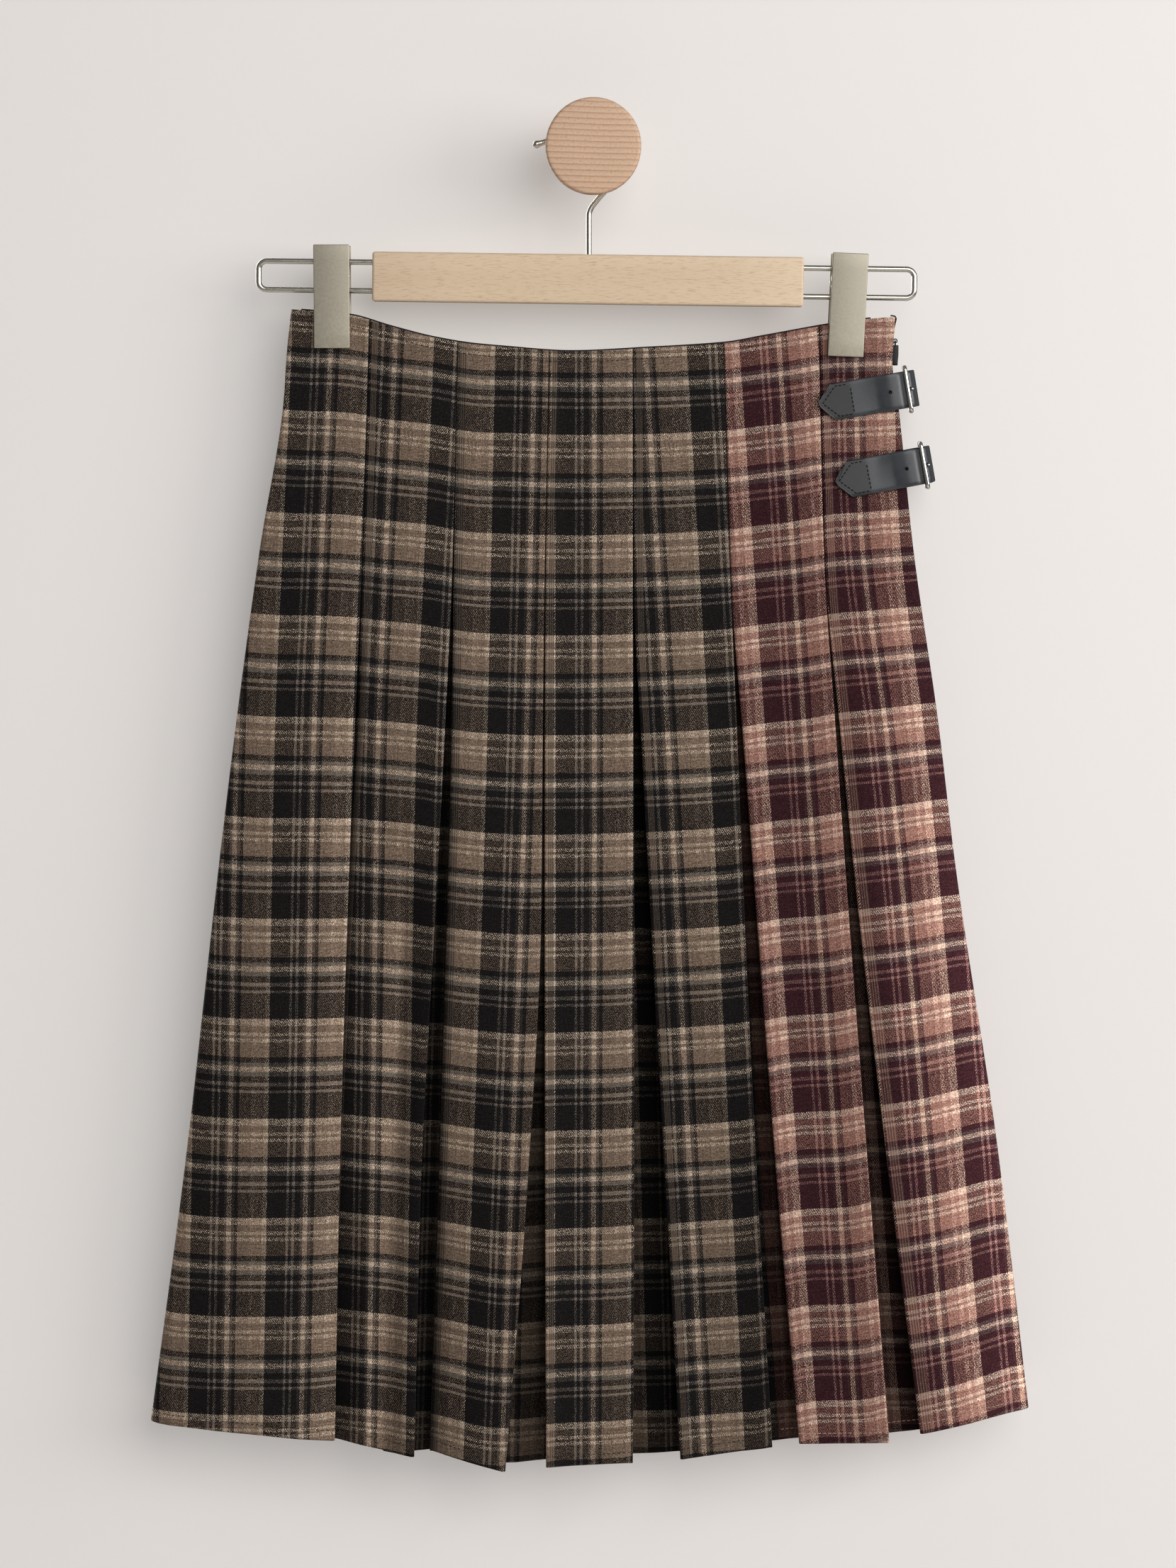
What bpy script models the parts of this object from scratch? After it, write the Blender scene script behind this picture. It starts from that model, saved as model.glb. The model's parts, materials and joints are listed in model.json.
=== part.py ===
"""A pleated kilt skirt, clipped to a bar hanger that hangs on a wooden wall peg.

The frame has +Z up and +Y into the wall, so the skirt's front faces -Y. The origin is the middle of the
peg's back face, which lies against the wall. Sizes below are in millimetres, and a mesh is scaled to
metres when it is made.
"""

from collections import namedtuple
from math import cos, hypot, pi, radians, sin

import bmesh
import bpy
import numpy as np
from mathutils import Matrix, Vector

MM = 0.001
GAP = 0.3  # between pieces that touch

# ---------------------------------------------------------------- driving sizes

# Cloth
CLOTH = 1.1  # thickness of the skirt's cloth
LAYER = 1.75  # from the middle of one layer of a pressed pleat to the next
PLEAT = 24.2  # how far a pleat's cloth folds back under each panel
HANG_Y = -34.0  # plane through the hanger, the clips and the waist's side seams
SEAM_Y_HEM = -36.0  # the side seams at the hem
RELEASE = 0.21  # share of the length down to which the pleats are sewn shut
TUCK_STARTS = 0.36  # share from which one panel's edge slides over the next

# Side seams, front to back joined there: x at shares of the way from the waist edge to the hem.
SEAM_SHARES = (0.0, 0.04, 0.08, 0.21, 0.36, 0.50, 0.75, 1.0)
SEAM_X = {
    "left": (-187.1, -190.3, -192.3, -207.7, -222.9, -235.6, -256.8, -281.6),
    "right": (187.4, 185.6, 189.6, 199.7, 215.4, 227.8, 255.1, 277.2),
}
SEAM_HEM_Z = {"left": -800.4, "right": -792.2}

# The waist edge sags between the clips: x and z along it.
WAIST_X = (-187.1, -150.9, -124.6, -99.2, -75.5, -57.5, -13.1, 33.0, 81.3, 106.3, 145.3, 169.4, 187.4)
WAIST_Z = (-98.9, -102.4, -109.8, -116.3, -120.3, -122.0, -125.0, -122.9, -119.8, -115.5, -108.5, -105.0, -103.6)

# The two folded edges that meet at each pleat: x at the waist edge, where the stitching ends, at three
# heights below it and at the hem, then the height of the hem and how far the edge lies back there.
FOLD_SHARES = (0.0, RELEASE, TUCK_STARTS, 0.50, 0.75, 1.0)
Fold = namedtuple("Fold", "waist release high middle low hem hem_z set_back")
Pleat = namedtuple("Pleat", "name left right tuck")  # tuck: depth at the hem where the edges overlap
PLEATS = (
    Pleat(
        "a_b",
        Fold(-138.5, -143.6, -148.6, -152.9, -159.2, -163.4, -809.5, 0.0),
        Fold(-138.5, -143.6, -148.6, -155.3, -163.9, -171.0, -809.5, 11.0),
        18.0,
    ),
    Pleat(
        "b_c",
        Fold(-83.7, -87.8, -93.0, -98.4, -108.1, -112.9, -818.5, 1.0),
        Fold(-83.7, -86.7, -88.6, -91.4, -97.2, -103.6, -817.2, 8.0),
        0.0,
    ),
    Pleat(
        "c_d",
        Fold(-27.2, -30.3, -31.6, -32.5, -41.6, -55.3, -826.3, 0.0),
        Fold(-27.2, -29.7, -30.3, -30.5, -30.3, -29.8, -825.8, 1.0),
        0.0,
    ),
    Pleat(
        "d_e",
        Fold(24.6, 24.7, 25.1, 25.5, 25.8, 25.1, -823.1, 1.0),
        Fold(24.6, 25.3, 30.4, 35.7, 45.5, 55.1, -820.8, 1.0),
        0.0,
    ),
    Pleat(
        "e_f",
        Fold(80.7, 85.4, 89.9, 94.1, 102.7, 113.1, -812.2, 4.0),
        Fold(80.7, 85.4, 93.6, 101.2, 114.8, 130.1, -810.8, 2.0),
        0.0,
    ),
    Pleat(
        "f_g",
        Fold(139.9, 143.8, 151.1, 158.3, 172.3, 186.8, -809.0, 2.0),
        Fold(139.9, 143.8, 153.6, 163.5, 184.0, 206.0, -802.7, 2.0),
        0.0,
    ),
)
COLOUR_PLEAT = "e_f"  # the burgundy cloth is joined to the black inside this pleat
COLOUR_SEAM = 0.42  # share of the way across its hidden layer
BACK_GAP_HEM = 12.0  # how far the back's pleats stand open at the hem
SET_BACK_POWER = 0.65  # how soon an edge starts to lie back below the stitching

# How far the front and the back stand out from the side seams' plane.
DEPTH_FRONT = (9.2, 12.0, 16.0, 20.0, 24.5, 28.0)
DEPTH_BACK = (9.2, 11.0, 14.0, 16.5, 21.0, 24.0)
CROWN_POWER = (6.0, 2.8)  # a flat, square-cornered section at the waist, an oval one at the hem
PINCHED = 5.75  # the same distance between the clips' jaws
PINCH_FLAT = 13.0  # half width that a clip presses flat
PINCH_FADE = 70.0  # half width over which the cloth opens again
PINCH_SHARES = (0.035, 0.20)  # shares of the length between which the pinch fades downwards

ROW_SHARES = np.array([0, 0.035, 0.085, 0.145, 0.21, 0.29, 0.37, 0.46, 0.58, 0.71, 0.85, 1])
PANEL_SHARES = {"front": (1 / 3, 2 / 3), "back": (1 / 2,)}  # points across a panel
SIDE_SHARES = (0.02, 0.06, 0.14, 0.3, 0.6)  # points from a side seam to the nearest pleat
ZIP_OPEN = ((0.0, 0.035, 0.085), (3.6, 2.4, GAP))  # the right seam above the slider: shares, gap

# Waist facing, one strip inside the front and one inside the back
FACING = 1.0  # thickness
FACING_HEIGHT = 28.0
FACING_PROUD = 1.0  # how far its rolled edge shows above the cloth
FACING_ENDS = (-181.0, 172.0)
FACING_BEHIND = 5.25  # from the middle of the outer layer to the middle of the facing
FACING_NEAREST = 0.8  # least distance from the middle plane

# Hanger
BAR = (267.0, 13.0, 30.5)  # length, thickness, height
BAR_MIDDLE = (-3.3, -80.5)  # x, z
TILT = radians(0.75)  # the hanger hangs a little lower on the right
WIRE = 1.75  # radius of the clips' wire
WIRE_SPACING = 17.6
WIRE_ENDS = (-207.4, 199.1)  # x of each loop's outer bend
WIRE_BEND = 5.0
WIRE_IN_BAR = 12.0
BORE_PLAY = 0.4  # between a wire and the corners of its bore
HOOK_WIRE = 1.7
HOOK_ARC = 20.2
HOOK_CENTRE = (-0.8, -6.0)
HOOK_STEM = -2.7
PEG_NECK = 12.0
PEG_NECK_LENGTH = 42.0
PEG_DISC = 29.4
PEG_DISC_THICKNESS = 14.0

# Clips
CLIP = (22.2, 1.4, 63.6)  # one jaw: width, thickness, height
CLIP_INNER = (7.7, 6.7)  # from the middle plane to the jaw's inner face, at its top and its bottom
CLIP_PIN = 1.3
CLIP_COIL = 3.4
Clip = namedtuple("Clip", "side x z lean")
CLIPS = (Clip("left", -161.8, -91.2, 0.0), Clip("right", 157.6, -96.4, 2.5))

# Straps, buckles
STRAP_WIDTH = 22.8
LEATHER = 1.8
STRAP_TIP = -56.0  # along the strap from the buckle's front bar
LIFTS_AT = -28.0  # where the sewn part ends and the strap leaves the cloth
STRAP_POINT = 11.0  # length of the pointed end
STRAP_HOLE = -11.2
STRAP_HOLE_RADIUS = 1.2
BUCKLE_HEIGHT = 30.0
BUCKLE_WIRE = 1.3
PRONG_WIRE = 0.8
StrapPlace = namedtuple("StrapPlace", "name x z rise")
STRAPS = (
    StrapPlace("upper", 194.9, -148.3, 9.6),
    StrapPlace("lower", 205.2, -195.3, 10.4),
)

# Zip in the right side seam
ZIP_LENGTH = 180.0
ZIP_TAPE = (9.0, 1.0)  # width, thickness
ZIP_EYE = (187.5, -118.3)  # x, z of the slider's eye, the pull tab's hinge
ZIP_TAB = (1.2, 4.2, 12.6)  # thickness, width, length
ZIP_TAB_DROP = 2.6

# ---------------------------------------------------------------- materials

COLOURS = {
    "black_check": ((0.045, 0.04, 0.037, 1), 0.9, 0.0),
    "burgundy_check": ((0.16, 0.06, 0.07, 1), 0.9, 0.0),
    "black_facing": ((0.01, 0.01, 0.01, 1), 0.8, 0.0),
    "black_leather": ((0.012, 0.013, 0.014, 1), 0.42, 0.0),
    "satin_nickel": ((0.62, 0.6, 0.55, 1), 0.38, 1.0),
    "bright_nickel": ((0.8, 0.79, 0.76, 1), 0.18, 1.0),
    "beech": ((0.68, 0.5, 0.33, 1), 0.55, 0.0),
    "black_zip": ((0.012, 0.012, 0.012, 1), 0.5, 0.0),
}


def clear_scene():
    for old in list(bpy.data.objects):
        bpy.data.objects.remove(old, do_unlink=True)


def new_collection(name, helper=False):
    made = bpy.data.collections.new(name)
    made.hide_render = helper
    bpy.context.scene.collection.children.link(made)
    return made


def material(name):
    """A Principled material of this object's own colour, roughness and metal."""
    found = bpy.data.materials.get(name)
    if found:
        return found
    colour, roughness, metal = COLOURS[name]
    made = bpy.data.materials.new(name)
    made.use_nodes = True
    made.diffuse_color = colour
    shader = made.node_tree.nodes["Principled BSDF"]
    shader.inputs["Base Color"].default_value = colour
    shader.inputs["Roughness"].default_value = roughness
    shader.inputs["Metallic"].default_value = metal
    return made


clear_scene()
PARTS = new_collection("kilt_skirt_on_hanger")
CUTTERS = new_collection("cutters", helper=True)

# ---------------------------------------------------------------- making meshes


def add_object(name, data, slot, helper=False):
    """Put data in the scene as one named piece, or as a helper that no render shows."""
    made = bpy.data.objects.new(name, data)
    (CUTTERS if helper else PARTS).objects.link(made)
    if helper:
        made.hide_render = True
        made.display_type = "WIRE"
    else:
        data.materials.append(material(slot))
    return made


def mesh_object(name, points, faces, slot, helper=False):
    """A closed mesh from points in millimetres, with its faces turned outwards."""
    data = bpy.data.meshes.new(name)
    data.from_pydata(np.asarray(points) * MM, [], faces)
    work = bmesh.new()
    work.from_mesh(data)
    bmesh.ops.recalc_face_normals(work, faces=work.faces)
    if work.calc_volume(signed=True) < 0:
        bmesh.ops.reverse_faces(work, faces=work.faces)
    work.to_mesh(data)
    work.free()
    data.update()
    return add_object(name, data, slot, helper)


def box(name, size, slot, bevel=0.0, segments=2, helper=False):
    """A box about its own middle, its edges rounded by a Bevel."""
    data = bpy.data.meshes.new(name)
    work = bmesh.new()
    bmesh.ops.create_cube(work, size=1.0, matrix=Matrix.Diagonal(Vector(size) * MM).to_4x4())
    work.to_mesh(data)
    work.free()
    made = add_object(name, data, slot, helper)
    if bevel:
        rounding = made.modifiers.new("rounded edges", "BEVEL")
        rounding.width = bevel * MM
        rounding.segments = segments
    return made


def cylinder(name, radius, length, slot, sides=16, helper=False):
    """A cylinder about its own middle, along its Z axis."""
    data = bpy.data.meshes.new(name)
    work = bmesh.new()
    bmesh.ops.create_cone(
        work,
        cap_ends=True,
        segments=sides,
        radius1=radius * MM,
        radius2=radius * MM,
        depth=length * MM,
    )
    work.to_mesh(data)
    work.free()
    return add_object(name, data, slot, helper)


def place(made, x, y, z, turn=(0.0, 0.0, 0.0)):
    made.location = (x * MM, y * MM, z * MM)
    made.rotation_euler = turn
    return made


def boolean(made, other, operation):
    step = made.modifiers.new(operation.lower(), "BOOLEAN")
    step.operation = operation
    step.object = other


def wire(name, points, radius, slot, closed=False, swell=None):
    """A round wire through points in millimetres; swell lists the relative radius at each point."""
    data = bpy.data.curves.new(name, "CURVE")
    data.dimensions = "3D"
    data.bevel_depth = radius * MM
    data.bevel_resolution = 2
    data.use_fill_caps = not closed
    spline = data.splines.new("POLY")
    spline.points.add(len(points) - 1)
    for index, point in enumerate(points):
        spline.points[index].co = (*(Vector(point) * MM), 1.0)
        spline.points[index].radius = swell[index] if swell else 1.0
    spline.use_cyclic_u = closed
    return add_object(name, data, slot)


def to_mesh(made):
    """Turn a wire into a mesh with its caps welded, so that it can be cut and joined."""
    bpy.context.view_layer.update()
    graph = bpy.context.evaluated_depsgraph_get()
    data = bpy.data.meshes.new_from_object(made.evaluated_get(graph))
    work = bmesh.new()
    work.from_mesh(data)
    bmesh.ops.remove_doubles(work, verts=work.verts, dist=1e-6)
    work.to_mesh(data)
    work.free()
    name = made.name
    matrix = made.matrix_world.copy()
    slot = made.data.materials[0].name
    bpy.data.objects.remove(made, do_unlink=True)
    data.materials.clear()
    turned = add_object(name, data, slot)
    turned.matrix_world = matrix
    return turned


def smooth_curve(knots, values, at):
    """A smooth curve through a short table: cubic pieces whose slopes never overshoot the table."""
    knots = np.asarray(knots, float)
    values = np.asarray(values, float)
    at = np.clip(np.asarray(at, float), knots[0], knots[-1])
    steps = np.diff(knots)
    slopes = np.diff(values) / steps
    middle = np.where(
        slopes[:-1] * slopes[1:] > 0,
        2 * slopes[:-1] * slopes[1:] / (slopes[:-1] + slopes[1:] + 1e-12),
        0.0,
    )
    tangents = np.concatenate([slopes[:1], middle, slopes[-1:]])
    piece = np.clip(np.searchsorted(knots, at, side="right") - 1, 0, len(steps) - 1)
    t = (at - knots[piece]) / steps[piece]
    rise = values[piece + 1] - values[piece]
    start = tangents[piece] * steps[piece]
    end = tangents[piece + 1] * steps[piece]
    return values[piece] + t * start + t**2 * (3 * rise - 2 * start - end) + t**3 * (
        start + end - 2 * rise
    )


def wall(name, columns, thickness, slot, squared=False):
    """A closed wall about a surface given as columns of (x, y, z) rows.

    Each row of points is a path seen from above. The wall's two faces are that path moved half the
    thickness to either side, mitred where it turns, and its four edges are closed. Squared ends lie
    along X or Y, whichever is nearer, so that two walls meet there with an even gap.
    """
    middle = np.stack([np.stack(column, axis=-1) for column in columns], axis=1)
    along = np.diff(middle[:, :, :2], axis=1)
    along /= np.linalg.norm(along, axis=2, keepdims=True)
    sideways = np.stack([-along[:, :, 1], along[:, :, 0]], axis=2)
    before = np.concatenate([sideways[:, :1], sideways], axis=1)
    after = np.concatenate([sideways, sideways[:, -1:]], axis=1)
    shared = np.sum(before * after, axis=2, keepdims=True)
    mitre = (before + after) / np.maximum(1 + shared, 0.5)
    if squared:
        for end in (0, -1):
            normal = mitre[:, end]
            across = np.abs(normal) == np.abs(normal).max(axis=1, keepdims=True)
            mitre[:, end] = np.where(across, 1 / normal, 0.0)
    shift = np.concatenate([mitre, np.zeros_like(mitre[:, :, :1])], axis=2) * thickness / 2
    rows, count = middle.shape[:2]
    points = np.concatenate([(middle + shift).reshape(-1, 3), (middle - shift).reshape(-1, 3)])
    near = np.arange(rows * count).reshape(rows, count)
    far = near + rows * count
    faces = []
    for grid, order in ((near, 1), (far, -1)):  # both faces split along the same diagonals
        a, b, c, d = grid[:-1, :-1], grid[:-1, 1:], grid[1:, 1:], grid[1:, :-1]
        for corners in ((a, b, c), (a, c, d)):
            faces += np.stack(corners, axis=-1).reshape(-1, 3)[:, ::order].tolist()
    for a, b in ((near[0], far[0]), (far[-1], near[-1]), (far[:, 0], near[:, 0]), (near[:, -1], far[:, -1])):
        faces += np.stack([a[:-1], b[:-1], b[1:], a[1:]], axis=-1).tolist()
    return mesh_object(name, points, faces, slot)


# ---------------------------------------------------------------- the skirt's form


def seam_x(side, share):
    """The side seam at a share of the length, in by half the cloth so that its outside is to size."""
    inwards = CLOTH / 2 if side == "left" else -CLOTH / 2
    return smooth_curve(SEAM_SHARES, SEAM_X[side], share) + inwards


def seam_y(share):
    return HANG_Y + (SEAM_Y_HEM - HANG_Y) * np.asarray(share, float)


def waist_z(x):
    """The waist edge, which sags between the clips."""
    return smooth_curve(WAIST_X, WAIST_Z, x)


def pinch(x, share):
    """1 between a clip's jaws, fading to 0 across and below them."""
    near = np.min([np.abs(x - clip.x) for clip in CLIPS], axis=0)
    across = np.clip((PINCH_FADE - near) / (PINCH_FADE - PINCH_FLAT), 0, 1)
    down = np.clip((PINCH_SHARES[1] - share) / (PINCH_SHARES[1] - PINCH_SHARES[0]), 0, 1)
    return across**2 * (3 - 2 * across) * down**2 * (3 - 2 * down)


def stand_out(face, x, share):
    """How far the outer layer stands out from the seams' plane at (x, share of the length)."""
    left = seam_x("left", share)
    right = seam_x("right", share)
    across = np.clip(np.abs((x - (left + right) / 2) / ((right - left) / 2)), 0, 1)
    power = CROWN_POWER[0] + (CROWN_POWER[1] - CROWN_POWER[0]) * share
    table = DEPTH_FRONT if face == "front" else DEPTH_BACK
    depth = smooth_curve(FOLD_SHARES, table, share)
    crowned = depth * (1 - across**power) ** (1 / power)
    pressed = pinch(x, share)
    return np.minimum(crowned, crowned * (1 - pressed) + PINCHED * pressed)


def into(face):
    """Which way along Y leads into the skirt from this face."""
    return 1.0 if face == "front" else -1.0


def wall_y(face, x, share):
    return seam_y(share) - into(face) * stand_out(face, x, share)


def set_back(fold, share):
    below = np.clip((share - RELEASE) / (1 - RELEASE), 0, 1)
    return fold.set_back * below**SET_BACK_POWER


def fold_pair(face, pleat, share):
    """x of both folded edges of a pleat, as the outsides of the cloth, and how far each lies back."""
    tables = [smooth_curve(FOLD_SHARES, fold[:6], share) for fold in (pleat.left, pleat.right)]
    if face == "back":
        middle = (tables[0] + tables[1]) / 2
        opening = BACK_GAP_HEM * np.clip((share - RELEASE) / (1 - RELEASE), 0, 1) ** 1.3
        tables = [middle - opening / 2, middle + opening / 2]
        lies_back = [np.zeros_like(share)] * 2
    else:
        lies_back = [set_back(pleat.left, share), set_back(pleat.right, share)]
    short = np.maximum(GAP - (tables[1] - tables[0]), 0) / 2
    if pleat.tuck and face == "front":
        short = np.where(share <= TUCK_STARTS, short, 0)
    return tables[0] - short, tables[1] + short, lies_back[0], lies_back[1]


def pleat_depth(face, pleat, share, gap, lies_back):
    """How far the hidden layer lies behind the panels, and how far it reaches under each of them.

    The cloth between an edge and the hidden layer keeps its length, PLEAT. As the edges part by gap,
    that length swings from flat under the panel towards straight back.
    """
    reach = PLEAT - np.maximum(gap, 0) / 2
    depth = np.sqrt(np.maximum(PLEAT**2 - reach**2, 0))
    depth = np.maximum(depth, 2 * LAYER + lies_back)
    if pleat.tuck and face == "front":
        below = np.clip((share - RELEASE) / (1 - RELEASE), 0, 1)
        depth = np.maximum(depth, pleat.tuck * below)
    swung = np.sqrt(PLEAT**2 - np.clip(depth - 2 * LAYER, 0, PLEAT - 1) ** 2)
    return depth, np.minimum(reach, swung)


def pleat_columns(face, pleat):
    """The cloth through one pleat, left to right: edge, back under, hidden layer, back out, edge.

    Returns the columns before the middle of the hidden layer, and those after it.
    """
    share = ROW_SHARES
    inwards = into(face)
    left, right, back_left, back_right = fold_pair(face, pleat, share)
    depth, reach = pleat_depth(face, pleat, share, right - left, np.maximum(back_left, back_right))
    left = left - CLOTH / 2
    right = right + CLOTH / 2
    halves = []
    for edge, lies_back, side, fold in (
        (left, back_left, -1, pleat.left),
        (right, back_right, 1, pleat.right),
    ):
        turn = edge + side * reach
        edge_y = wall_y(face, edge, share) + inwards * lies_back
        turn_y = wall_y(face, turn, share) + inwards * depth
        half = []
        for x, y in (
            (edge, edge_y),
            (edge, edge_y + inwards * LAYER),
            (turn, turn_y - inwards * LAYER),
            (turn, turn_y),
        ):
            half.append((x, y, hanging_z(x[0], fold.hem_z, share)))
        halves.append(half)
    return halves[0], halves[1][::-1]


def hanging_z(x_at_waist, hem_z, share):
    top = waist_z(x_at_waist)
    return top + share * (hem_z - top)


def between(face, a, b, shares, lies_back=(0.0, 0.0)):
    """Columns across a panel between its end columns a and b, on the skirt's form."""
    columns = []
    for f in shares:
        x = a[0] * (1 - f) + b[0] * f
        hem = a[2][-1] * (1 - f) + b[2][-1] * f
        y = wall_y(face, x, ROW_SHARES)
        y = y + into(face) * (lies_back[0] * (1 - f) + lies_back[1] * f)
        columns.append((x, y, hanging_z(x[0], hem, ROW_SHARES)))
    return columns


def seam_column(face, side):
    """The cloth's cut edge at a side seam; on the right it stands open above the zip's slider."""
    gap = np.full(len(ROW_SHARES), GAP)
    if side == "right":
        gap = np.interp(ROW_SHARES, *ZIP_OPEN)
    y = seam_y(ROW_SHARES) - into(face) * gap / 2
    x = seam_x(side, ROW_SHARES)
    return x, y, hanging_z(x[0], SEAM_HEM_Z[side], ROW_SHARES)


def skirt_half(face):
    """All of the front or the back, left to right, as the black piece's columns and the burgundy's."""
    last_edge = seam_column(face, "left")
    last_back = np.zeros(len(ROW_SHARES))
    columns = [last_edge]
    black = None
    for number, pleat in enumerate(PLEATS):
        before, after = pleat_columns(face, pleat)
        _, _, back_left, back_right = fold_pair(face, pleat, ROW_SHARES)
        shares = PANEL_SHARES[face] if number else SIDE_SHARES
        columns += between(face, last_edge, before[0], shares, (last_back, back_left))
        columns += before
        hidden = before[-1], after[0]
        if pleat.name == COLOUR_PLEAT:
            black = columns + [part_way(face, *hidden, COLOUR_SEAM, -GAP / 2)]
            columns = [part_way(face, *hidden, COLOUR_SEAM, GAP / 2)]
        else:
            columns.append(part_way(face, *hidden, 0.5, 0.0))
        columns += after
        last_edge = after[-1]
        last_back = back_right
    end = seam_column(face, "right")
    shares = [1 - share for share in SIDE_SHARES[::-1]]
    columns += between(face, last_edge, end, shares, (last_back, 0.0 * last_back))
    columns.append(end)
    return black, columns


def part_way(face, a, b, f, shift):
    """A column across a pleat's hidden layer, moved by shift along X."""
    x, y, z = [a[i] * (1 - f) + b[i] * f for i in range(3)]
    bulge = wall_y(face, x, ROW_SHARES) - (
        wall_y(face, a[0], ROW_SHARES) * (1 - f) + wall_y(face, b[0], ROW_SHARES) * f
    )
    return x + shift, y + bulge, z


def make_skirt():
    for face in ("front", "back"):
        black, burgundy = skirt_half(face)
        wall(f"skirt_{face}_black", black, CLOTH, "black_check", squared=True)
        wall(f"skirt_{face}_burgundy", burgundy, CLOTH, "burgundy_check", squared=True)


def make_facing(face):
    """A strip inside the waist; only its rolled top edge shows above the cloth."""
    xs = np.linspace(*FACING_ENDS, 19)
    columns = []
    for x in xs:
        top = waist_z(x)
        z = np.array([top + FACING_PROUD, top - FACING_HEIGHT / 2, top - FACING_HEIGHT])
        share = np.clip((top - z) / (top - hem_z(x)), 0, 1)
        inside = np.maximum(FACING_NEAREST, stand_out(face, x, share) - FACING_BEHIND)
        columns.append((np.full(3, x), seam_y(share) - into(face) * inside, z))
    wall(f"waist_facing_{face}", columns, FACING, "black_facing")


def hem_z(x):
    xs = [SEAM_X["left"][0]] + [p.left.waist for p in PLEATS] + [SEAM_X["right"][0]]
    zs = [SEAM_HEM_Z["left"]] + [p.left.hem_z for p in PLEATS] + [SEAM_HEM_Z["right"]]
    return smooth_curve(xs, zs, x)


def share_at(x, z):
    """The share of the skirt's length at a place on it."""
    return np.clip((waist_z(x) - z) / (waist_z(x) - hem_z(x)), 0, 1)


# ---------------------------------------------------------------- hanger and peg


def hanger_point(x, z):
    """A point of the level hanger, turned with it about the bar's middle."""
    dx = x - BAR_MIDDLE[0]
    dz = z - BAR_MIDDLE[1]
    return (
        BAR_MIDDLE[0] + dx * cos(TILT) + dz * sin(TILT),
        HANG_Y,
        BAR_MIDDLE[1] - dx * sin(TILT) + dz * cos(TILT),
    )


def make_peg():
    """Disc and neck turned in one piece; its axis is the wall's normal."""
    top = PEG_NECK_LENGTH + PEG_DISC_THICKNESS
    edge = 1.6
    corner = edge * 0.3
    profile = [
        (0, top),
        (PEG_DISC - edge, top),
        (PEG_DISC - corner, top - corner),
        (PEG_DISC, top - edge),
        (PEG_DISC, PEG_NECK_LENGTH + edge),
        (PEG_DISC - corner, PEG_NECK_LENGTH + corner),
        (PEG_DISC - edge, PEG_NECK_LENGTH),
        (PEG_NECK, PEG_NECK_LENGTH),
        (PEG_NECK, 0),
        (0, 0),
    ]
    data = bpy.data.meshes.new("wall_peg")
    points = [(radius * MM, 0, height * MM) for radius, height in profile]
    data.from_pydata(points, [(i, i + 1) for i in range(len(points) - 1)], [])
    peg = add_object("wall_peg", data, "beech")
    turning = peg.modifiers.new("turned", "SCREW")
    turning.steps = turning.render_steps = 40
    turning.use_merge_vertices = True
    turning.merge_threshold = 1e-5
    peg.rotation_euler = (pi / 2, 0, 0)


def make_bar():
    bar = box("hanger_bar", BAR, "beech", bevel=1.6, segments=2)
    place(bar, BAR_MIDDLE[0], HANG_Y, BAR_MIDDLE[1], (0, TILT, 0))
    top = BAR_MIDDLE[1] + BAR[2] / 2
    bores = [("bore_hook", (HOOK_STEM, HANG_Y, top), 0.0, HOOK_WIRE)]
    for side in (-1, 1):
        for level in (-1, 1):
            end = BAR_MIDDLE[0] + side * BAR[0] / 2
            height = BAR_MIDDLE[1] + level * WIRE_SPACING / 2
            bores.append((f"bore_{side}_{level}", hanger_point(end, height), TILT + pi / 2, WIRE))
    for name, mouth, turn, radius in bores:
        bore = cylinder(name, radius + BORE_PLAY, 2 * (WIRE_IN_BAR + 1), "beech", 12, helper=True)
        place(bore, *mouth, (0, turn, 0))
        boolean(bar, bore, "DIFFERENCE")


def make_wire_loop(side):
    """A long loop whose two legs go into the bar's end."""
    sign = -1 if side == "left" else 1
    inner = BAR_MIDDLE[0] + sign * (BAR[0] / 2 - WIRE_IN_BAR)
    outer = WIRE_ENDS[0] if side == "left" else WIRE_ENDS[1]
    half = WIRE_SPACING / 2
    corner_x = outer - sign * WIRE_BEND
    path = [(inner, half), ((inner + corner_x) / 2, half)]
    for level in (1, -1):
        turns = [pi / 2, pi / 4, 0.0] if level > 0 else [0.0, -pi / 4, -pi / 2]
        for turn in turns:
            path.append(
                (corner_x + sign * WIRE_BEND * cos(turn), level * (half - WIRE_BEND) + WIRE_BEND * sin(turn))
            )
    path += [((inner + corner_x) / 2, -half), (inner, -half)]
    points = [hanger_point(x, BAR_MIDDLE[1] + z) for x, z in path]
    wire(f"wire_loop_{side}", points, WIRE, "satin_nickel")


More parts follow.
